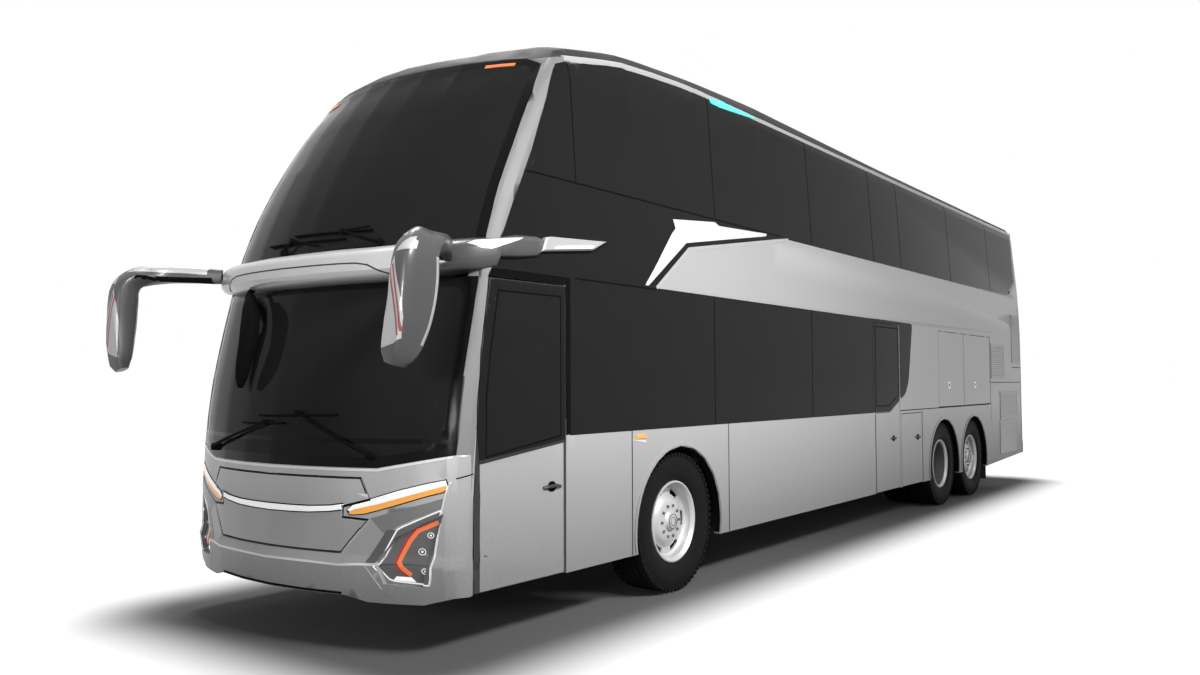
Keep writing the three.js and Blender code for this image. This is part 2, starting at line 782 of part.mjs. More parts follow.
// Mirror: an arm from the visor's end that turns down into a housing.
// Centre x, y, z, half width across, half depth
const MIRROR_PATH = [
  [2270, 1140, 2335, 45, 45],
  [2450, 1250, 2340, 58, 58],
  [2640, 1370, 2325, 65, 75],
  [2735, 1405, 2260, 80, 100],
  [2790, 1410, 2150, 85, 125],
  [2835, 1400, 2000, 85, 135],
  [2865, 1375, 1850, 80, 130],
  [2880, 1345, 1740, 65, 100],
  [2880, 1325, 1670, 30, 45],
];

function mirror(way) {
  const count = 12;
  const centres = MIRROR_PATH.map(([x, y, z]) => new THREE.Vector3(x, wider(y), z));
  const rings = MIRROR_PATH.map(([, , , across, deep], k) => {
    const before = centres[Math.max(k - 1, 0)];
    const after = centres[Math.min(k + 1, centres.length - 1)];
    const along = after.clone().sub(before).normalize();
    const ahead = new THREE.Vector3(1, -0.35, 0).cross(along).cross(along).multiplyScalar(-1).normalize();
    const aside = along.clone().cross(ahead);
    return Array.from({ length: count }, (_, n) => {
      const turn = (n / count) * 2 * Math.PI;
      const u = Math.cos(turn) * across;
      const v = Math.sin(turn) * deep;
      const point = centres[k].clone().addScaledVector(ahead, u).addScaledVector(aside, v);
      return [point.x, way * point.y, point.z];
    });
  });
  const body = loft(rings);
  const ahead = MIRROR_FRONT_X - body.boundingBox().max[0];
  return body.translate([ahead, 0, 0]).subtract(visor(SEAM)).subtract(envelope(-SEAM));
}

// -------------------------------------------------------------------- decks
// Floor pan of the lower deck: low floor, raised platform over the front axle, wheel wells and steps
function lowerFloor() {
  const under = FRONT_PLATFORM_Z - FLOOR;
  const across = [-INNER_Y, INNER_Y];
  const slab = block(
    [REAR_BULKHEAD_X + FLOOR + SEAM, FRONT_BULKHEAD_X],
    across,
    [LOWER_FLOOR_Z - FLOOR, LOWER_FLOOR_Z],
  );
  const riser = block(
    [FRONT_BULKHEAD_X, FRONT_BULKHEAD_X + FLOOR],
    across,
    [LOWER_FLOOR_Z - FLOOR, FRONT_PLATFORM_Z],
  );
  const platform = block([FRONT_BULKHEAD_X, PLATFORM_FRONT_X], across, [under, FRONT_PLATFORM_Z]);
  const covers = [1, -1].map((way) =>
    block(
      [-WELL_HALF - WELL_WALL, WELL_HALF + WELL_WALL],
      sideOf(way, WELL_Y - WELL_WALL, INNER_Y),
      [under, WELL_Z + WELL_WALL],
    ),
  );
  const wells = [1, -1].map((way) =>
    block([-WELL_HALF, WELL_HALF], sideOf(way, WELL_Y, FAR_Y), [SKIRT_Z - FLOOR, WELL_Z]),
  );
  const stepFoot = LOWER_FLOOR_Z - FLOOR;
  const step = block([FRONT_DOOR.rear, PLATFORM_FRONT_X], [STEP_Y, INNER_Y], [stepFoot, FRONT_PLATFORM_Z]);
  const stepwell = block(
    [FRONT_DOOR.rear + WELL_WALL, PLATFORM_FRONT_X - 10],
    [STEP_Y + WELL_WALL, FAR_Y],
    [stepFoot + WELL_WALL, 2000],
  );
  const rails = [1, -1].map((way) =>
    block([FRONT_BULKHEAD_X, PLATFORM_FRONT_X], sideOf(way, 330, 400), [560, under]),
  );
  const whole = joined([slab, riser, platform, ...covers, step, ...rails]);
  return whole.subtract(joined([...wells, stepwell]));
}

// Rear frame: rails and cross members over the axles, bulkhead, and the luggage bay's floor on struts
function chassis() {
  const rails = [1, -1].map((way) =>
    block(
      [REAR_X + 300, REAR_BULKHEAD_X + FLOOR],
      sideOf(way, RAIL_INNER_Y, RAIL_OUTER_Y),
      [RAIL_Z, RAIL_Z + RAIL_HEIGHT],
    ),
  );
  const crossAt = [DRIVE_AXLE_X + 720, DRIVE_AXLE_X - 660, TAG_AXLE_X - 850, REAR_X + 370];
  const cross = crossAt.map((x) =>
    block([x, x + 80], [-RAIL_OUTER_Y + 10, RAIL_OUTER_Y - 10], [RAIL_Z + 20, RAIL_Z + 180]),
  );
  const bulkhead = block(
    [REAR_BULKHEAD_X, REAR_BULKHEAD_X + FLOOR],
    [-INNER_Y, INNER_Y],
    [LOWER_FLOOR_Z - FLOOR, BAY_FLOOR_Z],
  );
  const bay = block([BAY_END_X, REAR_BULKHEAD_X], [-INNER_Y, INNER_Y], [BAY_FLOOR_Z - FLOOR, BAY_FLOOR_Z]);
  const struts = [1, -1].flatMap((way) =>
    [REAR_BULKHEAD_X - 60, DRIVE_AXLE_X - 700, BAY_END_X + 10].map((x) =>
      block([x, x + 60], sideOf(way, RAIL_INNER_Y, RAIL_OUTER_Y), [RAIL_Z + 180, BAY_FLOOR_Z]),
    ),
  );
  return joined([...rails, ...cross, bulkhead, bay, ...struts]);
}

function upperFloor() {
  const deck = block([REAR_X + 270, 2100], [-INNER_Y, INNER_Y], [UPPER_FLOOR_Z - FLOOR, UPPER_FLOOR_Z]);
  return deck.intersect(envelope(WALL + SEAM));
}

// ---------------------------------------------------------------- interiors
// One double seat facing forward: profile in x and z above the floor
const SEAT_PROFILE = [
  [0, 0],
  [60, 0],
  [60, 330],
  [430, 350],
  [430, 450],
  [90, 440],
  [-60, 1050],
  [-150, 1050],
];

function seats(fronts, floor) {
  const rows = fronts.flatMap((x) =>
    [1, -1].map((way) =>
      acrossY(
        SEAT_PROFILE.map(([u, v]) => [x + u, floor + SEAM + v]),
        way * SEAT_Y - SEAT_WIDTH / 2,
        way * SEAT_Y + SEAT_WIDTH / 2,
      ),
    ),
  );
  const [first, last] = [fronts[0], fronts[fronts.length - 1]];
  const rails = [1, -1].map((way) =>
    block([last - 20, first + 60], [way * SEAT_Y - 30, way * SEAT_Y + 30], [floor + SEAM, floor + 30]),
  );
  const ties = block([first, first + 60], [-SEAT_Y, SEAT_Y], [floor + SEAM, floor + 20]);
  return joined([...rows, ...rails, ties]);
}

// Places of the rows from the first backwards, as many as fit before the end
function seatRows(first, end) {
  const count = Math.floor((first - end) / SEAT_PITCH) + 1;
  return Array.from({ length: count }, (_, k) => first - k * SEAT_PITCH);
}

function driverSeat() {
  const profile = SEAT_PROFILE.map(([u, v]) => [1050 + u, FRONT_PLATFORM_Z + SEAM + v]);
  return acrossY(profile, DRIVER_Y - 250, DRIVER_Y + 250);
}

function dashboard() {
  const outline = [
    [1900, 1180],
    [2060, 1230],
    [2330, 1120],
    [2330, FRONT_PLATFORM_Z - 50],
    [2160, FRONT_PLATFORM_Z - 50],
    [2160, FRONT_PLATFORM_Z + SEAM],
    [2050, FRONT_PLATFORM_Z + SEAM],
    [2020, 1050],
  ];
  const body = acrossY(outline, 220 - HALF_WIDTH, STEP_Y - 90);
  const hub = [1700, DRIVER_Y, 1290];
  const tilt = -0.9;
  const column = bar([2000, DRIVER_Y, 1150], hub, 30, 8);
  const wheel = new THREE.TorusGeometry(215, 16, 6, 16);
  wheel.rotateY(Math.PI / 2 + tilt);
  wheel.translate(...hub);
  const spokes = [0, 1, 2].map((k) => {
    const turn = Math.PI / 2 + (k * 2 * Math.PI) / 3;
    const rim = new THREE.Vector3(0, Math.cos(turn) * 215, Math.sin(turn) * 215);
    rim.applyAxisAngle(new THREE.Vector3(0, 1, 0), tilt).add(new THREE.Vector3(...hub));
    return bar(hub, rim.toArray(), 12, 6);
  });
  return joined([body, column, solid(wheel), ...spokes]);
}

function engine() {
  const half = RAIL_INNER_Y - SEAM;
  return block([REAR_X + 460, REAR_X + 1650], [-half, half], [470, 1080]);
}

// ------------------------------------------------------------ wheels, axles
// Half of a tyre's section, from the bead out to the tread: radius, share of half width
const TYRE_HALF = [
  [TYRE_BEAD_R, 0.74],
  [TYRE_R - 120, 1],
  [TYRE_R - 20, 0.92],
  [TYRE_R, 0.76],
];

function tyre() {
  const flat = Math.cos(Math.PI / WHEEL_SIDES);
  const half = TYRE_HALF.map(([r, share]) => [r / flat, (share * TYRE_WIDTH) / 2]);
  return turned([...half, ...half.map(([r, y]) => [r, -y]).reverse(), half[0]], WHEEL_SIDES, true);
}

// Section of a rim, from the cap on the axis out over the disc and back along the bore.
// Radius, distance outwards from the middle of the tyre
const RIM_R = TYRE_BEAD_R - 2;
const BARREL_R = TYRE_BEAD_R / Math.cos(Math.PI / WHEEL_SIDES) - SEAM;
const HUB_BORE_R = (SPINDLE_R + SEAM) / Math.cos(Math.PI / WHEEL_SIDES);
function rimProfile({ cap, disc, nut, dish, boreR, boreFoot, hubFoot }) {
  const edge = TYRE_WIDTH * 0.42;
  return [
    [0, cap],
    [85, cap],
    [95, nut],
    [170, disc],
    [dish.r, dish.y],
    [RIM_R - 14, edge - 34],
    [RIM_R + 16, edge],
    [BARREL_R, edge - 14],
    [BARREL_R, -edge],
    [RIM_R - 12, -edge],
    [RIM_R - 12, dish.y - 22],
    [170, disc - 24],
    [120, disc - 24],
    [120, hubFoot],
    [boreR, hubFoot],
    [boreR, boreFoot],
    [0, boreFoot],
  ];
}

const singleRim = () =>
  turned(
    rimProfile({
      cap: 118,
      nut: 92,
      disc: 62,
      dish: { r: 235, y: 92 },
      boreR: HUB_BORE_R,
      boreFoot: 60,
      hubFoot: -40,
    }),
    WHEEL_SIDES,
    true,
  );

// Twin rims bolted face to face on one hub
function twinRims() {
  const half = TWIN_SPACING / 2;
  const edge = TYRE_WIDTH * 0.42;
  const dish = [
    [0, half - 60],
    [80, half - 60],
    [90, -40],
    [150, -70],
    [200, -70],
    [225, -30],
    [RIM_R - 14, half + 40],
    [RIM_R + 16, half + edge],
    [BARREL_R, half + edge - 14],
    [BARREL_R, -half - edge],
    [RIM_R - 12, -half - edge],
    [RIM_R - 12, -110],
    [120, -110],
    [120, -half],
    [HUB_BORE_R, -half],
    [HUB_BORE_R, -50],
    [0, -50],
  ];
  return turned(dish, WHEEL_SIDES, true);
}

function knuckle(way) {
  const y = way * KINGPIN_Y;
  const spindleEnd = way * (TRACK_HALF + 59);
  return joined([
    bar([0, y - way * 15, TYRE_R], [0, spindleEnd, TYRE_R], SPINDLE_R, 12),
    bar([0, y, TYRE_R - 125 + SEAM], [0, y, TYRE_R + 130 - SEAM], 38, 10),
    bar([0, y - way * 20, TYRE_R], [0, y + way * 60, TYRE_R], 90, 12),
    bar([0, y - way * 10, TYRE_R - 40], [-230, y - way * 60, TYRE_R - 40], 22, 8),
  ]);
}

function frontAxleBeam() {
  const y = KINGPIN_Y;
  const eye = (z0, z1) =>
    [1, -1].map((way) => bar([0, way * y, z0], [0, way * y, z1], 60, 12));
  const ends = [1, -1].map((way) =>
    block([-45, 45], sideOf(way, y - 260, y - 130), [TYRE_R - 170, TYRE_R + 175]),
  );
  const lugs = [1, -1].flatMap((way) =>
    [[-170, -125], [130, 175]].map(([low, high]) =>
      block([-40, 40], sideOf(way, y - 200, y), [TYRE_R + low, TYRE_R + high]),
    ),
  );
  const beam = block([-55, 55], [-y + 140, y - 140], [TYRE_R - 190, TYRE_R - 70]);
  const eyes = [...eye(TYRE_R - 170, TYRE_R - 125), ...eye(TYRE_R + 130, TYRE_R + 175)];
  const springs = [1, -1].map((way) =>
    bar([0, way * 475, TYRE_R - 75], [0, way * 475, FRONT_PLATFORM_Z - FLOOR - SEAM], 70, 14),
  );
  return joined([beam, ...ends, ...lugs, ...eyes, ...springs]);
}

const RAIL_Y = (RAIL_INNER_Y + RAIL_OUTER_Y) / 2;

function rigidAxle(x, hubEnd, housing) {
  const tube = bar([x, -hubEnd, TYRE_R], [x, hubEnd, TYRE_R], SPINDLE_R, 12);
  const sleeve = bar([x, -hubEnd + 190, TYRE_R], [x, hubEnd - 190, TYRE_R], 75, 12);
  const springs = [1, -1].flatMap((way) =>
    [-1, 1].map((end) =>
      bar([x + end * 260, way * RAIL_Y, TYRE_R - 60], [x + end * 260, way * RAIL_Y, RAIL_Z - SEAM], 60, 12),
    ),
  );
  const arms = [1, -1].map((way) =>
    block([x - 320, x + 320], sideOf(way, RAIL_INNER_Y, RAIL_OUTER_Y), [TYRE_R - 90, TYRE_R - 50]),
  );
  const pads = [1, -1].map((way) => bar([x, way * RAIL_Y, TYRE_R - 80], [x, way * RAIL_Y, TYRE_R], 50, 12));
  const parts = [tube, sleeve, ...springs, ...arms, ...pads];
  if (housing) {
    const bowl = new THREE.SphereGeometry(190, 12, 8);
    bowl.translate(x, 0, TYRE_R);
    parts.push(solid(bowl));
  }
  return joined(parts);
}

// --------------------------------------------------------------- the coach
const FINISHES = {
  paint: { color: 0x9a9a9c, roughness: 0.35, metalness: 0.6 },
  dark_glass: { color: 0x202123, roughness: 0.08, metalness: 0 },
  black: { color: 0x111112, roughness: 0.5, metalness: 0 },
  rubber: { color: 0x18181a, roughness: 0.85, metalness: 0 },
  polished: { color: 0xc9cacc, roughness: 0.2, metalness: 1 },
  steel: { color: 0x4a4b4d, roughness: 0.6, metalness: 0.7 },
  lamp: { color: 0xe6a546, roughness: 0.2, metalness: 0 },
  cloth: { color: 0x3b3f48, roughness: 0.9, metalness: 0 },
  floor: { color: 0x55585a, roughness: 0.8, metalness: 0 },
};

const coach = new THREE.Group();
const OVERALL_CENTRE_X = (MIRROR_FRONT_X + REAR_X) / 2;

function show(name, made, finish) {
  const mesh = new THREE.Mesh(geometryOf(made), new THREE.MeshStandardMaterial(FINISHES[finish]));
  mesh.name = name;
  mesh.position.x = -OVERALL_CENTRE_X;
  coach.add(mesh);
}

show("chassis", chassis(), "steel");
show("lower_floor", lowerFloor(), "floor");
show("upper_floor", upperFloor(), "floor");
show("roof", roof(), "paint");
show("rear_wall", rearWall(), "paint");
show("rear_window", rearWindow(), "dark_glass");
show("engine_door", engineDoor(), "paint");
show("front_mask", frontMask(), "paint");
show("front_flap", frontFlap(), "paint");
show("lower_windscreen", screen(LOWER_SCREEN), "dark_glass");
show("upper_windscreen", screen(UPPER_SCREEN), "dark_glass");
show("visor", visor(), "paint");
show("engine", engine(), "steel");
show("dashboard", dashboard(), "black");
show("driver_seat", driverSeat(), "cloth");
show("lower_seats", seats(seatRows(-1400, MID_DOOR.front + 500), LOWER_FLOOR_Z), "cloth");
show("upper_seats", seats(seatRows(900, REAR_X + 1300), UPPER_FLOOR_Z), "cloth");

for (const { side, way, hasDoors } of SIDES) {
  show(`side_wall_${side}`, sideWall({ way, hasDoors }), "paint");
  show(`side_glass_${side}`, sideGlass({ way, hasDoors }), "dark_glass");
  show(`headlamp_${side}`, headlamp(way), "lamp");
  show(`mirror_${side}`, mirror(way), "paint");
  show(`service_hatch_${side}`, serviceHatch(way), "paint");
  for (const hatch of LUGGAGE_HATCHES) {
    show(`luggage_hatch_${hatch.name}_${side}`, luggageHatch(hatch, way), "paint");
  }
}

const FRONT_PANE = [
  [FRONT_DOOR.rear + 70, BELT_Z + 10],
  [2170, 1110],
  [2165, 1473],
  [2120, 1762],
  [2040, FRONT_DOOR.head - 70],
  [FRONT_DOOR.rear + 70, FRONT_DOOR.head - 70],
];
const MID_PANE = rectangle([MID_DOOR.rear + 60, MID_DOOR.front - 60], [BELT_Z + 90, MID_DOOR.head - 60]);
const frontDoor = glazedDoor(FRONT_DOOR_OUTLINE, FRONT_PANE, sideHinges(FRONT_DOOR.front, 500, 820, 1), 1);
const midDoor = glazedDoor(frame(MID_DOOR), MID_PANE, sideHinges(MID_DOOR.front, 600, 2000, 1), 1);
show("front_door", frontDoor.door, "paint");
show("front_door_glass", frontDoor.pane, "dark_glass");
show("mid_door", midDoor.door, "paint");
show("mid_door_glass", midDoor.pane, "dark_glass");

show("front_axle_beam", frontAxleBeam(), "steel");
show("drive_axle", rigidAxle(DRIVE_AXLE_X, TRACK_HALF - TWIN_SPACING / 2 - 51, true), "steel");
show("tag_axle", rigidAxle(TAG_AXLE_X, TRACK_HALF + 59, false), "steel");

// Wheels are made about the middle of their tyre and turned to face outwards
function place(made, way, x, y) {
  return (way > 0 ? made : made.rotate([180, 0, 0])).translate([x, way * y, TYRE_R]);
}

for (const { side, way } of SIDES) {
  show(`knuckle_${side}`, knuckle(way), "steel");
  show(`front_tyre_${side}`, place(tyre(), way, FRONT_AXLE_X, TRACK_HALF), "rubber");
  show(`front_rim_${side}`, place(singleRim(), way, FRONT_AXLE_X, TRACK_HALF), "polished");
  show(`drive_tyre_outer_${side}`, place(tyre(), way, DRIVE_AXLE_X, TRACK_HALF), "rubber");
  show(`drive_tyre_inner_${side}`, place(tyre(), way, DRIVE_AXLE_X, TRACK_HALF - TWIN_SPACING), "rubber");
  show(`drive_rims_${side}`, place(twinRims(), way, DRIVE_AXLE_X, TRACK_HALF - TWIN_SPACING / 2), "polished");
  show(`tag_tyre_${side}`, place(tyre(), way, TAG_AXLE_X, TRACK_HALF), "rubber");
  show(`tag_rim_${side}`, place(singleRim(), way, TAG_AXLE_X, TRACK_HALF), "polished");
}

export default coach;
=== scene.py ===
"""Coachwork, glazing, wheels, lamps, trim and cabin of a double-decker coach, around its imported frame.

Metres, +X forward, +Y to the coach's left, +Z up, wheels on z = 0. Places along the coach
are given as the distance ahead of the front axle and turned into x by ahead().
"""

import json
import math

import bmesh
import bpy
import numpy as np
from bpy.props import FloatProperty, FloatVectorProperty, IntProperty, PointerProperty
from mathutils import Matrix, Vector, geometry
from mathutils.bvhtree import BVHTree


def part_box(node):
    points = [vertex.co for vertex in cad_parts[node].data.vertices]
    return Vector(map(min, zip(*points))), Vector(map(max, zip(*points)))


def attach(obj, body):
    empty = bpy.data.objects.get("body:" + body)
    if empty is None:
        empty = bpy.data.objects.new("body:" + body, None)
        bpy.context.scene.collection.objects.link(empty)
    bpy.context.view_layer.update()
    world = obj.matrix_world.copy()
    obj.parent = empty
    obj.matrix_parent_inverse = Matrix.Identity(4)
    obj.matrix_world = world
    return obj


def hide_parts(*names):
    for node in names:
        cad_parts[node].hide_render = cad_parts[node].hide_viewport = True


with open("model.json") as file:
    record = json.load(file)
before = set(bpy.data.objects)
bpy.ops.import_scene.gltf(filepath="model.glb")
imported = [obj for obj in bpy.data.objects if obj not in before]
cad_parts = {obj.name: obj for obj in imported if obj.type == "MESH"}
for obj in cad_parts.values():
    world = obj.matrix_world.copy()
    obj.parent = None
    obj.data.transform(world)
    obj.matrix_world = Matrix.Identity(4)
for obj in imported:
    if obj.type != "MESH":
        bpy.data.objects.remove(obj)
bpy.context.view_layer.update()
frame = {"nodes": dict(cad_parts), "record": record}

bl_info = {
    "name": "Double-decker Coach",
    "version": (1, 0, 0),
    "blender": (4, 5, 0),
    "location": "View3D > Sidebar > Coach",
    "description": "Coachwork, glazing, wheels, lamps and trim of a double-decker coach",
    "category": "Object",
}

SIDES = (("left", 1), ("right", -1))
BODY = "coach_body"


# ------------------------------------------------------------ places from the frame
def middle(node):
    low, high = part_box(node)
    return (low + high) / 2


FRONT_AXLE = middle("front_tyre_left")
DRIVE_AXLE = middle("drive_tyre_outer_left")
TAG_AXLE = middle("tag_tyre_left")
TYRE_R = (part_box("front_tyre_left")[1].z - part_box("front_tyre_left")[0].z) / 2
TYRE_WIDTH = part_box("front_tyre_left")[1].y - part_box("front_tyre_left")[0].y
TWIN_SPACING = middle("drive_tyre_outer_left").y - middle("drive_tyre_inner_left").y
HALF_WIDTH = -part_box("side_wall_right")[0].y
REAR_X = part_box("rear_wall")[0].x


def ahead(x):
    """x in the frame of a place that far ahead of the front axle."""
    return FRONT_AXLE.x + x


# ---------------------------------------------------------------- settings
class CoachPaintSettings(bpy.types.PropertyGroup):
    body_colour: FloatVectorProperty(
        name="Body colour", description="Metallic paint of the coachwork", subtype="COLOR", size=3,
        default=(0.50, 0.50, 0.504), min=0, max=1)
    pale_colour: FloatVectorProperty(
        name="Pale colour", description="Silver of the visor, rails and mirror inlays", subtype="COLOR", size=3,
        default=(0.55, 0.55, 0.555), min=0, max=1)
    dark_colour: FloatVectorProperty(
        name="Dark colour", description="Dark grey of the mirrors and lamp surrounds", subtype="COLOR", size=3,
        default=(0.088, 0.088, 0.091), min=0, max=1)
    roughness: FloatProperty(
        name="Roughness", description="Roughness under the clear coat", subtype="FACTOR", default=0.38,
        min=0, max=1)


class CoachGlazingSettings(bpy.types.PropertyGroup):
    tint: FloatVectorProperty(
        name="Tint", description="Colour of the dark flush glass", subtype="COLOR", size=3,
        default=(0.016, 0.0162, 0.0166), min=0, max=1)
    joint_width: FloatProperty(
        name="Joint width", description="Width of the rubber joint between two panes",
        default=0.011, min=0.004, max=0.04, unit="LENGTH")


class CoachWheelSettings(bpy.types.PropertyGroup):
    slots: IntProperty(name="Slots", description="Air slots in a rim", default=6, min=4, max=12)
    nuts: IntProperty(name="Nuts", description="Wheel nuts on a hub", default=10, min=6, max=12)
    tread_blocks: IntProperty(
        name="Tread blocks", description="Blocks round each shoulder of a tyre", default=64, min=24, max=120)


class CoachTrimSettings(bpy.types.PropertyGroup):
    seam_width: FloatProperty(
        name="Seam width", description="Width of a panel seam", default=0.010, min=0.003, max=0.03, unit="LENGTH")
    stripe_colour: FloatVectorProperty(
        name="Stripe colour", description="Colour of the flash on the side", subtype="COLOR", size=3,
        default=(0.86, 0.86, 0.86), min=0, max=1)
    accent_colour: FloatVectorProperty(
        name="Accent colour", description="Colour of the stripes on the mirrors", subtype="COLOR", size=3,
        default=(0.30, 0.055, 0.045), min=0, max=1)


class CoachStageSettings(bpy.types.PropertyGroup):
    lens: FloatProperty(name="Lens", description="Focal length of the camera, on a 36 mm sensor",
                        default=29.73, min=10, unit="CAMERA")
    world_light: FloatProperty(name="World light", description="Strength of the even light", default=0.02, min=0)
    side_light: FloatProperty(name="Side light", description="Power of the large lamp beside the door",
                              default=180, min=0, unit="POWER")
    front_light: FloatProperty(name="Front light", description="Power of the lamp ahead of the nose",
                               default=50, min=0, unit="POWER")
    top_light: FloatProperty(name="Top light", description="Power of the lamp above, on the far side",
                             default=450, min=0, unit="POWER")
    fill_light: FloatProperty(name="Fill light", description="Power of the lamps behind and on the far side",
                              default=130, min=0, unit="POWER")


# ---------------------------------------------------------------- node materials
class Nodes:
    """A node tree being built, with short calls for adding and linking."""

    def __init__(self, tree):
        self.tree = tree

    def feed(self, socket, value):
        """Links a socket to another one, or sets it to a plain value."""
        if isinstance(value, bpy.types.NodeSocket):
            self.tree.links.new(value, socket)
        else:
            socket.default_value = value

    def add(self, kind, values=None, **settings):
        node = self.tree.nodes.new(kind)
        for key, value in settings.items():
            setattr(node, key, value)
        for key, value in (values or {}).items():
            self.feed(node.inputs[key], value)
        return node

    def maths(self, operation, first, second=0.0, clamp=False):
        node = self.add("ShaderNodeMath", {0: first, 1: second}, operation=operation, use_clamp=clamp)
        return node.outputs[0]

    def span(self, value, low, high, to_low=0.0, to_high=1.0):
        values = {"Value": value, "From Min": low, "From Max": high, "To Min": to_low, "To Max": to_high}
        return self.add("ShaderNodeMapRange", values, interpolation_type="SMOOTHSTEP").outputs["Result"]

    def mix(self, factor, first, second):
        node = self.add("ShaderNodeMix", data_type="RGBA")
        sockets = {socket.identifier: socket for socket in node.inputs}
        for key, value in (("Factor_Float", factor), ("A_Color", first), ("B_Color", second)):
            self.feed(sockets[key], value)
        return next(socket for socket in node.outputs if socket.identifier == "Result_Color")

    def seen_directly(self):
        """1 for rays from the camera, mirrors and glass, else 0."""
        path = self.add("ShaderNodeLightPath").outputs
        others = self.maths("MAXIMUM", path["Is Glossy Ray"], path["Is Transmission Ray"])
        return self.maths("MAXIMUM", path["Is Camera Ray"], others)


def node_group(kind, name, inputs, outputs):
    """A node group from its inputs (name: kind, default) and outputs (name: kind), with its two ends."""
    tree = bpy.data.node_groups.new(name, f"{kind}NodeTree")
    for label, (sort, default) in inputs.items():
        socket = tree.interface.new_socket(name=label, in_out="INPUT", socket_type=f"NodeSocket{sort}")
        if default is not None:
            socket.default_value = default
    for label, sort in outputs.items():
        tree.interface.new_socket(name=label, in_out="OUTPUT", socket_type=f"NodeSocket{sort}")
    nodes = Nodes(tree)
    return nodes, nodes.add("NodeGroupInput").outputs, nodes.add("NodeGroupOutput").inputs


def grain_group():
    """Fine and broad mottling: a value round 0.5 and a height for bump."""
    inputs = {"Vector": ("Vector", None), "Scale": ("Float", 40.0), "Contrast": ("Float", 0.5)}
    nodes, given, result = node_group("Shader", "surface_grain", inputs, {"Value": "Float", "Height": "Float"})
    fine = nodes.add("ShaderNodeTexNoise", {"Vector": given["Vector"], "Scale": given["Scale"], "Detail": 4.0,
                                            "Roughness": 0.6}).outputs["Fac"]
    mottle = {"Vector": given["Vector"], "Scale": 1.7, "Detail": 2.0}
    broad = nodes.add("ShaderNodeTexNoise", mottle).outputs["Fac"]
    both = nodes.maths("ADD", nodes.maths("MULTIPLY", fine, 0.6), nodes.maths("MULTIPLY", broad, 0.4))
    spread = nodes.maths("MULTIPLY", nodes.maths("SUBTRACT", both, 0.5), given["Contrast"])
    nodes.feed(result["Value"], nodes.maths("ADD", spread, 0.5))
    nodes.feed(result["Height"], fine)
    return nodes.tree


def dust_and_shade_group():
    """Mask of road dust and painted shade: strong near the ground, broken up by noise, gone above the top height.
    """
    nodes, given, result = node_group(
        "Shader", "road_dust_and_shade", {"Vector": ("Vector", None), "Top": ("Float", 1.2), "Amount": ("Float", 0.3)},
        {"Mask": "Float"})
    height = nodes.add("ShaderNodeSeparateXYZ", {"Vector": given["Vector"]}).outputs["Z"]
    low = nodes.add("ShaderNodeMapRange", {"Value": height, "From Min": given["Top"], "From Max": 0.2})
    noise = nodes.add("ShaderNodeTexNoise", {"Vector": given["Vector"], "Scale": 60.0, "Detail": 4.0})
    broken = nodes.span(noise.outputs["Fac"], 0.2, 0.8, 0.85, 1.0)
    patchy = nodes.maths("MULTIPLY", low.outputs["Result"], broken)
    nodes.feed(result["Mask"], nodes.maths("MULTIPLY", patchy, given["Amount"], clamp=True))
    return nodes.tree


def weave_group():
    """Woven cloth: crossed threads as a value and a height."""
    nodes, given, result = node_group(
        "Shader", "cloth_weave", {"Vector": ("Vector", None), "Threads": ("Float", 600.0)},
        {"Value": "Float", "Height": "Float"})
    wave = {"Vector": given["Vector"], "Scale": given["Threads"], "Distortion": 1.2, "Detail": 1.0}
    threads = [nodes.add("ShaderNodeTexWave", wave, wave_type="BANDS", bands_direction=direction).outputs["Fac"]
               for direction in ("X", "Z")]
    crossed = nodes.maths("MULTIPLY", nodes.maths("ADD", *threads), 0.5)
    for name in ("Value", "Height"):
        nodes.feed(result[name], crossed)
    return nodes.tree


GROUPS = {}
GROUP_MAKERS = {"grain": grain_group, "dust": dust_and_shade_group, "weave": weave_group}


def shared(name):
    """The one node group of that name, made when it is first asked for."""
    if name not in GROUPS:
        GROUPS[name] = GROUP_MAKERS[name]()
    return GROUPS[name]


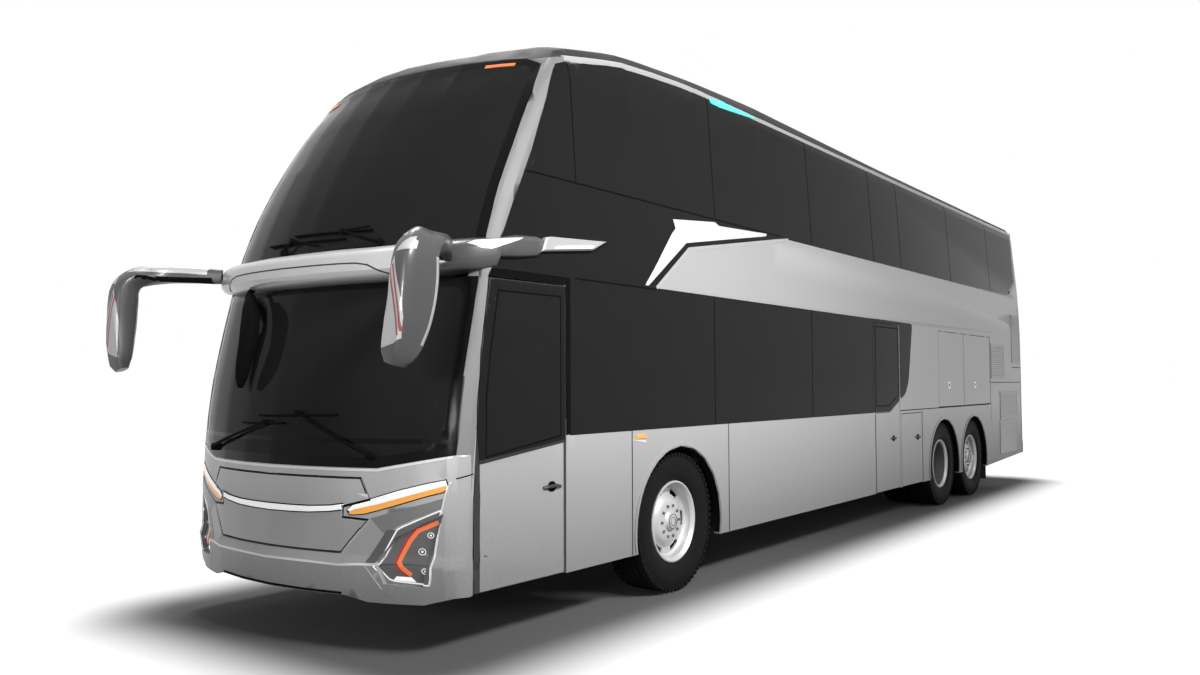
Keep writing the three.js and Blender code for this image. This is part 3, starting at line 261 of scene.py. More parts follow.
class Finish:
    """One material round a Principled shader; plain numbers go straight on its sockets."""

    def __init__(self, name, colour, **plain):
        self.material = bpy.data.materials.new(name)
        self.material.use_nodes = True
        self.nodes = Nodes(self.material.node_tree)
        self.shader = self.material.node_tree.nodes["Principled BSDF"]
        self.shade = self.colour = (*colour, 1.0)
        self.roughness = plain.get("Roughness", 0.5)
        for key, value in {"Base Color": self.colour, **plain}.items():
            self.shader.inputs[key].default_value = value
        self.place = self.nodes.add("ShaderNodeTexCoord").outputs["Object"]

    def feed(self, socket, value):
        self.nodes.feed(self.shader.inputs[socket], value)
        return self

    def effect(self, name, **values):
        values = {"Vector": self.place, **values}
        return self.nodes.add("ShaderNodeGroup", values, node_tree=shared(name)).outputs

    def toned(self, share):
        return (*(min(c * share, 1) for c in self.colour[:3]), 1.0)

    def grain(self, scale, colour_swing=0.06, roughness_swing=0.08, bump=0.0, distance=0.0005):
        grain = self.effect("grain", Scale=scale, Contrast=1.0)
        self.shade = self.nodes.mix(grain["Value"], self.toned(1 - colour_swing), self.toned(1 + colour_swing))
        self.rough = self.nodes.span(grain["Value"], 0.2, 0.8, self.roughness - roughness_swing,
                                     self.roughness + roughness_swing)
        self.feed("Base Color", self.shade).feed("Roughness", self.rough)
        return self.bump(grain["Height"], bump, distance) if bump else self

    def bump(self, height, strength, distance):
        node = self.nodes.add("ShaderNodeBump", {"Height": height, "Strength": strength, "Distance": distance})
        return self.feed("Normal", node.outputs["Normal"])

    # Mixes a colour in towards the ground: road dust, and on the coachwork also painted shade.
    def dust(self, top, amount, colour=(0.32, 0.30, 0.27)):
        mask = self.effect("dust", Top=top, Amount=amount)["Mask"]
        self.shade = self.nodes.mix(mask, self.shade, (*colour, 1.0))
        rough = self.nodes.mix(mask, self.rough, (0.85, 0.85, 0.85, 1.0))
        return self.feed("Base Color", self.shade).feed("Roughness", rough)

    def weave(self, threads, strength):
        weave = self.effect("weave", Threads=threads)
        self.shade = self.nodes.mix(weave["Value"], self.toned(0.7), self.colour)
        return self.feed("Base Color", self.shade).bump(weave["Height"], strength, 0.0006)


MATERIALS = {}


def add_finish(key, name, colour, roughness, grain, dust=None, **sockets):
    """A finish with grain and perhaps road dust and painted shade near the ground on it, its material kept under
    a key.
    """
    finish = Finish(name, colour, Roughness=roughness, **sockets).grain(*grain)
    if dust:
        finish.dust(*dust)
    MATERIALS[key] = finish.material
    return finish


def lit(colour, strength):
    return {"Emission Color": (*colour, 1), "Emission Strength": strength}


def coach_materials():
    scene = bpy.context.scene
    paint, trim = scene.coach_paint, scene.coach_trim
    clear = {"Coat Weight": 0.25, "Coat Roughness": 0.08, "Specular IOR Level": 0.3}
    coat, film = {**clear, "Metallic": 0.2}, {"Coat Weight": 0.6, "Coat Roughness": 0.1}
    dull, duller = {"Specular IOR Level": 0.12}, {"Specular IOR Level": 0.05}
    flake, smooth = (900.0, 0.05, 0.04), (60.0, 0.06, 0.03)

    # Darker copies of the body paint, worn below as painted shade.
    def body(share):
        return [c * share for c in paint.body_colour]

    add = add_finish
    # The body paint darkens towards the skirt, partly road dust and partly painted shade.
    add("coachwork", "coachwork_silver", paint.body_colour, paint.roughness, flake,
        (1.25, 0.75, (0.13, 0.13, 0.13)), **coat)
    add("pale", "coachwork_pale", paint.pale_colour, 0.34, (900.0, 0.04, 0.04), **coat)
    # A darker copy of the body paint: painted shade on the mask beside the lamps; the roof hatches wear it too.
    add("shade", "coachwork_shade", body(0.36), 0.4, flake, **coat)
    # A darker copy of the body paint for the pillars beside the screens: painted shade.
    add("pillar", "coachwork_pillar_painted_shade", body(0.46), 0.6, flake, Metallic=0.1)
    # A darker copy of the body paint for the faces under the folds of the nose: painted shade.
    add("underside", "coachwork_underside_painted_shade", body(0.64), 0.4, flake, **coat)
    add("dark_paint", "coachwork_dark", paint.dark_colour, 0.36, flake, **coat)
    # The roof, the body paint darkened to 8 %: painted shade on the top.
    add("roof_painted_shade", "roof_painted_shade", body(0.08), 0.6, (500.0, 0.06, 0.05), **dull)
    add("glass", "tinted_glass", scene.coach_glazing.tint, 0.08, (3.0, 0.12, 0.02), IOR=1.10)
    add("frit", "printed_border", (0.006, 0.006, 0.006), 0.16, (40.0, 0.2, 0.03), IOR=1.15)
    add("seal", "rubber_seal", (0.012, 0.012, 0.012), 0.72, (160.0, 0.2, 0.08, 0.15))
    add("black", "satin_black", (0.016, 0.016, 0.017), 0.42, (220.0, 0.15, 0.08, 0.1))
    add("gap", "shadow_gap", (0.005, 0.005, 0.005), 0.9, (90.0, 0.1, 0.05), **duller)
    add("chassis_paint", "chassis_paint", (0.035, 0.035, 0.037), 0.6, (45.0, 0.25, 0.15, 0.2, 0.001), (1.3, 0.75),
        Metallic=0.2)
    add("cast", "cast_engine", (0.10, 0.10, 0.10), 0.6, (70.0, 0.3, 0.15, 0.35, 0.001), (1.4, 0.5), Metallic=0.6)
    add("floor_vinyl", "floor_covering", (0.10, 0.10, 0.105), 0.7, (260.0, 0.3, 0.1, 0.15))
    add("tyre", "tyre_rubber", (0.005, 0.005, 0.005), 0.75, (120.0, 0.25, 0.08, 0.2),
        (1.3, 0.06, (0.05, 0.048, 0.045)), **dull)
    add("alloy", "wheel_alloy", (0.62, 0.62, 0.63), 0.34, (300.0, 0.04, 0.06, 0.04), (0.9, 0.10), Metallic=0.35)
    add("chrome", "bright_chrome", (0.93, 0.93, 0.94), 0.07, (60.0, 0.03, 0.03), Metallic=1.0)
    add("cloth", "seat_cloth", (0.055, 0.06, 0.075), 0.9, (30.0, 0.15, 0.04),
        **{"Sheen Weight": 0.3}).weave(420.0, 0.35)
    add("grille", "grille_grey", (0.56, 0.56, 0.565), 0.5, (200.0, 0.08, 0.08), Metallic=0.3)
    add("lamp_bed", "lamp_bed", (0.13, 0.13, 0.133), 0.25, (80.0, 0.1, 0.03), **clear)
    add("amber", "amber_lens", (0.86, 0.38, 0.075), 0.15, smooth, **lit((1.0, 0.42, 0.05), 0.25))
    add("orange", "orange_lamp", (0.80, 0.19, 0.06), 0.2, smooth, **lit((1.0, 0.2, 0.04), 0.25))
    add("red", "red_lens", (0.55, 0.02, 0.015), 0.12, (60.0, 0.1, 0.03))
    add("teal", "teal_lamp", (0.06, 0.72, 0.72), 0.2, (60.0, 0.08, 0.03), **lit((0.1, 0.9, 0.9), 0.3))
    add("lens", "clear_lens", (0.80, 0.81, 0.82), 0.08, (80.0, 0.06, 0.03), **{"Coat Weight": 1.0})
    # Glowing white of the lamps; the bright strips of the flap and the visor blades wear it too, though they are
    # no lamps: a painted glow.
    add("drl", "white_lamp", (0.90, 0.90, 0.90), 0.15, (60.0, 0.03, 0.03), **lit((1, 1, 1), 0.35))
    # White of the flash, the visor insert and the plate, also laid as painted highlights on the bumper and
    # headlamps.
    add("flash", "white_flash_and_highlight", trim.stripe_colour, 0.32, (400.0, 0.02, 0.04), **film)
    add("accent", "accent_stripe", trim.accent_colour, 0.35, (400.0, 0.08, 0.05), **film)


# ---------------------------------------------------------------- mesh helpers
CREASE = math.radians(28)
SEAT_CREASE = math.radians(50)
# Slot of a piece by its finish; every other finish is paint
SLOTS = {"gap": "black_plastic", "seal": "black_plastic", "black": "black_plastic", "glass": "glazing",
         "frit": "glazing", "chrome": "polished", "alloy": "polished", "cloth": "cloth", "tyre": "tyre",
         **dict.fromkeys(("drl", "amber", "orange", "red", "teal", "lens", "lamp_bed"), "lamp")}


def as_mesh(bm, name="made"):
    """Mesh of a bmesh, which is freed."""
    mesh = bpy.data.meshes.new(name)
    bm.to_mesh(mesh)
    bm.free()
    return mesh


def linked(name, mesh):
    thing = bpy.data.objects.new(name, mesh)
    bpy.context.collection.objects.link(thing)
    return thing


def result_of(thing, *tools):
    """Mesh that an object's modifiers make; the object and its tools are then removed."""
    bpy.context.view_layer.update()
    made = bpy.data.meshes.new_from_object(thing.evaluated_get(bpy.context.evaluated_depsgraph_get()))
    for spent in (thing, *tools):
        bpy.data.objects.remove(spent)
    return made


def new_piece(name, bm, finish, body=BODY, slot=None, replaces=(), crease=CREASE):
    """Turns a bmesh into a finished piece at the origin that rides on a body."""
    mesh = as_mesh(bm, name)
    mesh.shade_smooth()
    mesh.set_sharp_from_angle(angle=crease)
    mesh.materials.append(MATERIALS[finish])
    piece = linked(name, mesh)
    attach(piece, body)
    slot or SLOTS.get(finish, "paint")
    if replaces:
        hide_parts(*replaces)
    return piece


def add_part(bm, part):
    """Adds one bmesh to another, and frees it."""
    add_mesh(bm, as_mesh(part), Matrix.Identity(4), keep=False)


def add_mesh(bm, mesh, matrix, keep=True):
    """Adds a mesh, moved by the matrix, to a bmesh."""
    copy = mesh.copy() if keep else mesh
    copy.transform(matrix)
    bm.from_mesh(copy)
    bpy.data.meshes.remove(copy)


def merged_copy(node):
    """A bmesh of a CAD node with its loose triangles joined."""
    bm = bmesh.new()
    bm.from_mesh(frame["nodes"][node].data)
    bmesh.ops.remove_doubles(bm, verts=bm.verts, dist=2e-5)
    bmesh.ops.dissolve_degenerate(bm, edges=bm.edges, dist=1e-5)
    return bm


def slice_mesh(bm, axis, start, stop, step):
    """Cuts a mesh by evenly spaced planes across one axis, so that it can bend."""
    normal = Vector([float(k == axis) for k in range(3)])
    count = max(int(round((stop - start) / step)), 1)
    for k in range(count + 1):
        at = start + (stop - start) * k / count
        everything = bm.verts[:] + bm.edges[:] + bm.faces[:]
        bmesh.ops.bisect_plane(bm, geom=everything, dist=1e-5, plane_co=normal * at, plane_no=normal)


def gathered(meshes):
    """Corners and faces of several meshes as one."""
    corners, rings = [], []
    for mesh in meshes:
        base = len(corners)
        corners += [v.co.copy() for v in mesh.vertices]
        rings += [[base + i for i in p.vertices] for p in mesh.polygons]
    return corners, rings


# ------------------------------------------------- smooth front, from the frame's own facets
def cast(tree, origin, direction):
    return tree.ray_cast(Vector(origin), Vector(direction))[0]


def tree_of(*nodes):
    """One ray-casting tree over several CAD nodes."""
    return BVHTree.FromPolygons(*gathered(frame["nodes"][node].data for node in nodes))


def resampled(points, step):
    points = np.array(points, float)
    lengths = np.r_[0, np.cumsum(np.linalg.norm(np.diff(points, axis=0), axis=1))]
    at = np.arange(0, lengths[-1], step)
    return np.c_[np.interp(at, lengths, points[:, 0]), np.interp(at, lengths, points[:, 1])]


def softened(points, step, spread):
    """A polyline smoothed along its length, its ends carried on straight."""
    reach = int(3 * spread / step)
    head = points[0] + (points[0] - points[1]) * np.arange(reach, 0, -1)[:, None]
    tail = points[-1] + (points[-1] - points[-2]) * np.arange(1, reach + 1)[:, None]
    kernel = np.exp(-0.5 * (np.arange(-reach, reach + 1) * step / spread) ** 2)
    kernel /= kernel.sum()
    long = np.vstack([head, points, tail])
    return np.c_[np.convolve(long[:, 0], kernel, "valid"), np.convolve(long[:, 1], kernel, "valid")]


def nearest(points, at):
    """Index of the nearest polyline point to each place, and how far it is."""
    index = np.empty(len(at), int)
    gap = np.empty(len(at))
    for start in range(0, len(at), 4000):
        part = at[start:start + 4000]
        d = np.linalg.norm(part[:, None, :] - points[None, :, :], axis=2)
        index[start:start + 4000] = d.argmin(1)
        gap[start:start + 4000] = d.min(1)
    return index, gap


def ramp(value, full, none):
    t = np.clip((value - none) / (full - none), 0, 1)
    return t * t * (3 - 2 * t)


class SmoothFront:
    """Moves points of the faceted nose, corners and roof line onto smooth curves through them."""

    STEP = 0.02

    def __init__(self):
        fronts = tree_of("front_mask", "front_flap", "lower_windscreen", "upper_windscreen", "roof")
        sides = tree_of("side_wall_right", "side_glass_right")
        profile = []
        for z in np.arange(0.42, 3.70, 0.05):
            hit = cast(fronts, (9, 0.02, z), (-1, 0, 0))
            if hit is not None and (not profile or abs(hit.x - profile[-1][0]) < 0.25):
                profile.append((hit.x, z))
        for x in np.arange(ahead(1.5), REAR_X + 0.6, -0.05):
            hit = cast(fronts, (x, 0.02, 9), (0, 0, -1))
            if hit is not None:
                profile.append((x, hit.z))
        self.profile = resampled(profile, self.STEP)
        self.profile_move = softened(self.profile, self.STEP, 0.16) - self.profile
        self.profile_move *= ramp(self.profile[:, 1], 1.0, 0.72)[:, None]
        rising = self.profile[: np.searchsorted(self.profile[:, 1], 3.6)]
        self.nose_line = rising[:, 1], rising[:, 0]

        level = (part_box("lower_windscreen")[0].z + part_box("lower_windscreen")[1].z) / 2
        nose = cast(fronts, (9, 0.02, level), (-1, 0, 0)).x
        plan = [(0, 0)]
        for y in np.arange(0.05, 1.19, 0.05):
            hit = cast(fronts, (9, y, level), (-1, 0, 0))
            plan.append((nose - hit.x, y))
        for x in np.arange(ahead(2.15), ahead(1.0), -0.05):
            hit = cast(sides, (x, -3, level), (0, 1, 0))
            if hit is not None:
                plan.append((nose - x, -hit.y))
        self.plan = resampled(plan, self.STEP)
        self.plan_move = softened(self.plan, self.STEP, 0.05) - self.plan
        self.plan_move[:4] = 0

    def nose_at(self, z):
        return np.interp(z, *self.nose_line)

    def half_width(self, z):
        return HALF_WIDTH - np.interp(z, [2.3, 2.9, 3.8, 4.3], [0, 0.015, 0.075, 0.11])

    def __call__(self, co):
        co = co.copy()
        y = np.abs(co[:, 1]) * HALF_WIDTH / self.half_width(co[:, 2])
        back = np.interp(y, np.maximum.accumulate(self.plan[:, 1]), self.plan[:, 0])
        back = np.where(y > HALF_WIDTH, 0.45, back)
        roofness = ramp(co[:, 2], 3.9, 3.6)
        centred = np.c_[co[:, 0] + back * (1 - roofness), co[:, 2]]
        index, gap = nearest(self.profile, centred)
        move = self.profile_move[index] * ramp(gap, 0.3, 0.9)[:, None]
        index, gap = nearest(self.plan, np.c_[self.nose_at(co[:, 2]) - co[:, 0], y])
        turn = self.plan_move[index] * (ramp(gap, 0.10, 0.25) * ramp(co[:, 2], 3.3, 3.75))[:, None]
        co[:, 0] += move[:, 0] - turn[:, 0]
        co[:, 2] += move[:, 1]
        co[:, 1] += np.sign(co[:, 1]) * turn[:, 1]
        return co


def bend(bm, shape):
    co = np.array([v.co for v in bm.verts])
    for vert, place in zip(bm.verts, shape(co)):
        vert.co = place


SMOOTH = []


def smooth_front():
    if not SMOOTH:
        SMOOTH.append(SmoothFront())
    return SMOOTH[0]


FRONT_CELL = 0.09
# The pillars at the ends of the side walls, from the waist to the roof, and where each deck's begins; their faces
# take a darker copy of the body paint as painted shade
PILLAR_Z, PILLAR_BACK, VISOR_Z = (1.14, 3.80), {"lower": 1.95, "upper": 0.9}, 2.3
# Panels that take in the curved front or the roof line: node, axes to slice, finish, slot
CURVED_PANELS = (
    ("front_mask", "yz", "coachwork", "paint"),
    ("front_flap", "yz", "coachwork", "paint"),
    ("headlamp_left", "yz", "coachwork", "lamp"),
    ("headlamp_right", "yz", "coachwork", "lamp"),
    ("lower_windscreen", "yz", "glass", "glazing"),
    ("upper_windscreen", "yz", "glass", "glazing"),
    ("roof", "x", "roof_painted_shade", "paint"),
    ("side_wall_left", "x", "coachwork", "paint"),
    ("side_wall_right", "x", "coachwork", "paint"),
    ("side_glass_left", "x", "glass", "glazing"),
    ("side_glass_right", "x", "glass", "glazing"),
    ("front_door", "z", "black", "black_plastic"),
    ("front_door_glass", "z", "glass", "glazing"),
)


def body_of_node(node):
    return next(body for body, nodes in frame["record"]["behaviour"]["bodies"].items() if node in nodes)


class COACH_OT_panels(bpy.types.Operator):
    """Body panels and glass, with the front and roof line made smooth"""
    bl_idname = "coach.panels"
    bl_label = "Body panels"

    def execute(self, context):
        shape = smooth_front()
        for node, axes, finish, slot in CURVED_PANELS:
            bm = merged_copy(node)
            low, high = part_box(node)
            for letter in axes:
                axis = "xyz".index(letter)
                start, stop = low[axis] + 0.01, high[axis] - 0.01
                if letter == "x":
                    start = ahead(-1.6)
                if stop > start:
                    slice_mesh(bm, axis, start, stop, FRONT_CELL)
            bend(bm, shape)
            panel = new_piece(f"{node}_panel", bm, finish, body_of_node(node), slot, (node,))
            if node.startswith("side_wall"):
                # Faces of the pillars take the darker paint: painted shade.
                panel.data.materials.append(MATERIALS["pillar"])
                for face in panel.data.polygons:
                    x, _, z = face.center
                    low, high = PILLAR_Z
                    back = PILLAR_BACK["upper" if z > VISOR_Z else "lower"]
                    face.material_index = int(low < z < high and x > ahead(back))
        plain = (
            ("rear_wall", "coachwork"), ("rear_window", "glass"), ("engine_door", "coachwork"),
            ("mid_door", "black"), ("mid_door_glass", "glass"),
            ("chassis", "chassis_paint"), ("lower_floor", "floor_vinyl"), ("upper_floor", "floor_vinyl"),
            ("engine", "cast"), ("front_axle_beam", "chassis_paint"), ("drive_axle", "chassis_paint"),
            ("tag_axle", "chassis_paint"), ("knuckle_left", "cast"), ("knuckle_right", "cast"),
            ("dashboard", "black"),
            *((f"{hatch}_{side}", "coachwork") for side, _ in SIDES
              for hatch in ("service_hatch", "luggage_hatch_front", "luggage_hatch_rear")),
        )
        for node, finish in plain:
            mesh = frame["nodes"][node].data
            mesh.materials.clear()
            mesh.materials.append(MATERIALS[finish])
        return {"FINISHED"}


# ---------------------------------------------------------------- shapes laid on the coachwork
# Side looked at: the two axes seen flat, the axis looked along, the way outwards
FACES = {"left": (0, 2, 1, 1), "right": (0, 2, 1, -1), "front": (1, 2, 0, 1), "rear": (1, 2, 0, -1),
         "top": (0, 1, 2, 1)}


def outwards(face):
    _, _, deep, way = FACES[face]
    return Vector([way * float(k == deep) for k in range(3)])


def place_on(face, a, b, depth):
    """Place given by the flat axes of a face and the axis it looks along."""
    u, v, deep, _ = FACES[face]
    place = [0.0, 0.0, 0.0]
    place[u], place[v], place[deep] = a, b, depth
    return place


def shown(node):
    """Mesh that stands for a CAD node: the panel made from it, or its own."""
    panel = bpy.data.objects.get(f"{node}_panel")
    return panel.data if panel else frame["nodes"][node].data


def turning(outline):
    """Twice an outline's area, positive when it runs anticlockwise."""
    return sum(a[0] * b[1] - b[0] * a[1] for a, b in zip(outline, outline[1:] + outline[:1]))


class Skin:
    """Outermost faces of some panels as seen from one side, for cutting flat shapes from."""

    def __init__(self, face, *nodes):
        self.u, self.v, *_ = FACES[face]
        self.shift = FRONT_AXLE.x if self.u == 0 else 0.0
        out = outwards(face)
        corners, rings = gathered(shown(node) for node in nodes)
        tree = BVHTree.FromPolygons(corners, rings)
        keys = [tuple(round(c * 2500) for c in corner) for corner in corners]
        normals, kept = {}, []
        for ring in rings:
            places = [corners[i] for i in ring]
            normal = geometry.normal(places)
            centre = sum(places, Vector()) / len(places)
            covered = tree.ray_cast(centre + out * 4e-3, out)[0] is not None
            if normal.dot(out) < 0.12 or covered:
                continue
            kept.append(ring)
            for i in ring:
                normals[keys[i]] = normals.get(keys[i], Vector()) + normal
        self.rings = [[(*corners[i], *normals[keys[i]].normalized()) for i in ring] for ring in kept]
        flat = [np.array([(p[self.u], p[self.v]) for p in ring]) for ring in self.rings]
        self.low = np.array([f.min(0) for f in flat])
        self.high = np.array([f.max(0) for f in flat])

    def within(self, cell):
        """Parts of the faces inside a convex outline."""
        cell = [(u + self.shift, v) for u, v in cell]
        cell = cell if turning(cell) > 0 else cell[::-1]
        low, high = np.min(cell, 0), np.max(cell, 0)
        near = np.nonzero((self.low < high).all(1) & (self.high > low).all(1))[0]
        found = []
        for index in near:
            ring = self.rings[index]
            for a, b in zip(cell, cell[1:] + cell[:1]):
                ring = self.trimmed(ring, a, b)
                if len(ring) < 3:
                    break
            else:
                found.append(ring)
        return found

    def trimmed(self, ring, a, b):
        run, rise = b[0] - a[0], b[1] - a[1]
        side = [run * (p[self.v] - a[1]) - rise * (p[self.u] - a[0]) for p in ring]
        kept = []
        for k, here in enumerate(ring):
            j = (k + 1) % len(ring)
            if side[k] >= 0:
                kept.append(here)
            if (side[k] >= 0) != (side[j] >= 0):
                t = side[k] / (side[k] - side[j])
                kept.append(tuple(p + (q - p) * t for p, q in zip(here, ring[j])))
        return kept


def shell(rings, proud, sunk):
    """Thin raised body over some rings of (place, normal), with sides down into the panel."""
    bm = bmesh.new()
    index, tops, feet, faces = {}, [], [], []
    for ring in rings:
        ids = []
        for point in ring:
            key = tuple(round(c * 4000) for c in point[:3])
            if key not in index:
                index[key] = len(tops)
                place, normal = Vector(point[:3]), Vector(point[3:]).normalized()
                tops.append(bm.verts.new(place + normal * proud))
                feet.append(bm.verts.new(place - normal * sunk))
            if index[key] not in ids:
                ids.append(index[key])
        if len(ids) > 2:
            faces.append(ids)
    edges = {(ids[k], ids[(k + 1) % len(ids)]) for ids in faces for k in range(len(ids))}
    done = set()
    for ids in faces:
        if frozenset(ids) not in done:
            done.add(frozenset(ids))
            bm.faces.new([tops[i] for i in ids])
    for a, b in edges:
        if (b, a) not in edges:
            bm.faces.new((feet[a], feet[b], tops[b], tops[a]))
    loose = [v for v in bm.verts if not v.link_faces]
    bmesh.ops.delete(bm, geom=loose, context="VERTS")
    return bm


def lay(name, skin, made, finish, proud=0.0015, body=BODY, slot=None, sunk=0.003):
    """A piece laid on a skin where some convex cells fall, standing proud of it."""
    rings = [ring for cell in made for ring in skin.within(cell)]
    if not rings:
        raise RuntimeError(f"{name} lies on no panel")
    return new_piece(name, shell(rings, proud, sunk), finish, body, slot)


def lay_rows(skin, rows, body=BODY, way=1, side=None):
    """Lays rows of name, cells, finish, proud and perhaps slot; a side ends the names, way mirrors the cells."""
    for name, made, finish, proud, *slot in rows:
        full_name = f"{name}_{side}" if side else name
        lay(full_name, skin, [across(cell, way) for cell in made], finish, proud, body, *slot)


def cells(outline):
    """An outline of any shape as convex cells."""
    flat = [Vector((u, v, 0)) for u, v in outline]
    return [[outline[i] for i in triangle] for triangle in geometry.tessellate_polygon([flat])]


def mitre(first, second):
    """Direction that splits a corner between two directions, and how far it leans from the square."""
    across = Vector((-first.y - second.y, first.x + second.x)).normalized()
    return across, max(across.dot(Vector((-second.y, second.x))), 0.35)


def band(path, width, closed=False):
    """Cells of an even band along a path, mitred at its corners."""
    points = [Vector(p) for p in path]
    count = len(points)
    rims = []
    for k, point in enumerate(points):
        before = points[k - 1] if k or closed else None
        after = points[(k + 1) % count] if k + 1 < count or closed else None
        first = (point - before).normalized() if before is not None else (after - point).normalized()
        second = (after - point).normalized() if after is not None else first
        across, lean = mitre(first, second)
        reach = width / 2 / lean
        rims.append((tuple(point + across * reach), tuple(point - across * reach)))
    pairs = zip(rims, rims[1:] + rims[:1] if closed else rims[1:])
    return [[a[0], a[1], b[1], b[0]] for a, b in pairs]


def bands(paths, width):
    return [cell for path in paths for cell in band(path, width)]


def shrunk(outline, by):
    """An outline moved inwards, corner by corner."""
    way = 1 if turning(outline) > 0 else -1
    made = []
    for k in range(len(outline)):
        point = Vector(outline[k])
        first = (point - Vector(outline[k - 1])).normalized()
        second = (Vector(outline[(k + 1) % len(outline)]) - point).normalized()
        across, lean = mitre(first, second)
        made.append(tuple(point + across * (way * by / lean)))
    return made


def border(outline, width):
    """Cells of a band just inside an outline."""
    return band(shrunk(outline, width / 2), width, closed=True)


def rounded(outline, radius, steps=4):
    """An outline with its corners rounded."""
    made = []
    for k in range(len(outline)):
        point = Vector(outline[k])
        before, after = Vector(outline[k - 1]) - point, Vector(outline[(k + 1) % len(outline)]) - point
        reach = min(radius, before.length * 0.45, after.length * 0.45)
        start, end = point + before.normalized() * reach, point + after.normalized() * reach
        for n in range(steps + 1):
            t = n / steps
            made.append(tuple(start * (1 - t) ** 2 + point * 2 * t * (1 - t) + end * t ** 2))
    return made


def turns(count):
    """That many even turns of a full circle."""
    return [2 * math.pi * k / count for k in range(count)]


def circle(centre, radius, sides=24):
    return [(centre[0] + radius * math.cos(t), centre[1] + radius * math.sin(t)) for t in turns(sides)]


def rectangle(u0, u1, v0, v1):
    return [(u0, v0), (u1, v0), (u1, v1), (u0, v1)]


def across(outline, way):
    """The outline of one half of the front or rear, or its mirror image."""
    return [(way * y, z) for y, z in outline]


def whole(half):
    """Both halves of an outline that is the same on either side, from one half's points."""
    return [*half, *across(half[::-1], -1)]


def mirrored(line):
    """A line across the middle, from the half that starts there."""
    return [*across(line[::-1], -1), *line[1:]]


# ---------------------------------------------------------------- solid shapes
def loft(bm, rings, caps=True):
    """Faces through rings of places that all have the same count."""
    made = [[bm.verts.new(place) for place in ring] for ring in rings]
    for here, there in zip(made, made[1:]):
        for k in range(len(here)):
            j = (k + 1) % len(here)
            bm.faces.new((here[k], here[j], there[j], there[k]))
    if caps:
        bm.faces.new(made[0][::-1])
        bm.faces.new(made[-1])
    return bm


def closed(bm):
    bmesh.ops.recalc_face_normals(bm, faces=bm.faces)
    return bm


def curve(points, step):
    """Places along a smooth curve through some points, about a step apart."""
    points = [Vector(p) for p in points]
    ends = [points[0] * 2 - points[1], *points, points[-1] * 2 - points[-2]]
    made = []
    for a, b, c, d in zip(ends, ends[1:], ends[2:], ends[3:]):
        count = max(int((c - b).length / step), 1)
        for n in range(count):
            t = n / count
            made.append(0.5 * ((2 * b) + (c - a) * t + (2 * a - 5 * b + 4 * c - d) * t * t
                               + (3 * b - 3 * c + d - a) * t ** 3))
    return [*made, points[-1]]


def tube(bm, points, radius, sides=10, flat=1.0, up=(0, 0, 1)):
    """Rod through some points, of one radius or one at each point, capped; flat squashes it across."""
    points = [Vector(p) for p in points]
    radii = radius if isinstance(radius, (list, tuple)) else [radius] * len(points)
    rings = []
    for k, point in enumerate(points):
        along = (points[min(k + 1, len(points) - 1)] - points[max(k - 1, 0)]).normalized()
        side = along.cross(Vector(up))
        side = side.normalized() if side.length > 1e-4 else along.orthogonal().normalized()
        rise = side.cross(along)
        rings.append([point + (side * math.cos(t) + rise * math.sin(t) * flat) * radii[k] for t in turns(sides)])
    return loft(bm, rings)


def prism(bm, outline, face, start, stop, bevel=0.0):
    """An outline in the flat axes of a face, carried between two places along the third, edges bevelled."""
    shift = FRONT_AXLE.x if FACES[face][0] == 0 else 0.0
    rows = [(start, outline), (stop - math.copysign(bevel, stop - start), outline)]
    if bevel:
        rows.append((stop, shrunk(outline, bevel)))
    return loft(bm, [[place_on(face, a + shift, b, depth) for a, b in flat] for depth, flat in rows])


# ---------------------------------------------------------------- repeats by Geometry Nodes
def block_tree(name, inputs, arrange):
    """Geometry Nodes: a block set on points; arrange gives the points, their rotation and a shift of it all."""
    sockets = {"Geometry": ("Geometry", None), "Count": ("Int", None), **inputs, "Size": ("Vector", None),
               "Material": ("Material", None)}
    nodes, given, result = node_group("Geometry", name, sockets, {"Geometry": "Geometry"})
    points, rotation, shift = arrange(nodes, given)
    block = nodes.add("GeometryNodeMeshCube", {"Size": given["Size"]}).outputs["Mesh"]
    instances = {"Points": points, "Instance": block, "Rotation": rotation}
    made = nodes.add("GeometryNodeInstanceOnPoints", instances)
    for kind, values in (("GeometryNodeRealizeInstances", {}),
                         ("GeometryNodeTransform", {"Translation": shift}),
                         ("GeometryNodeSetMaterial", {"Material": given["Material"]})):
        made = nodes.add(kind, {"Geometry": made.outputs[0], **values})
    nodes.feed(result["Geometry"], made.outputs["Geometry"])
    return nodes.tree


def ring_points(nodes, given):
    """Points round the z axis at a height, with rotations that face outwards."""
    circle = nodes.add("GeometryNodeMeshCircle", {"Vertices": given["Count"], "Radius": given["Radius"]})
    facing = nodes.add("FunctionNodeAlignRotationToVector",
                       {"Vector": nodes.add("GeometryNodeInputPosition").outputs[0]}, axis="X")
    shift = nodes.add("ShaderNodeCombineXYZ", {"Z": given["Offset"]})
    return circle.outputs["Mesh"], facing.outputs["Rotation"], shift.outputs["Vector"]


def row_points(nodes, given):
    """Points along a straight row."""
    line = {"Count": given["Count"], "Start Location": given["Start"], "Offset": given["Step"]}
    row = nodes.add("GeometryNodeMeshLine", line, mode="OFFSET")
    return row.outputs["Mesh"], given["Tilt"], (0, 0, 0)


# Name, inputs of its own and arrangement of each tree
REPEATS = {
    "ring": ("tread_blocks", {"Radius": ("Float", None), "Offset": ("Float", None)}, ring_points),
    "row": ("block_row", {"Start": ("Vector", None), "Step": ("Vector", None), "Tilt": ("Rotation", None)},
            row_points),
}


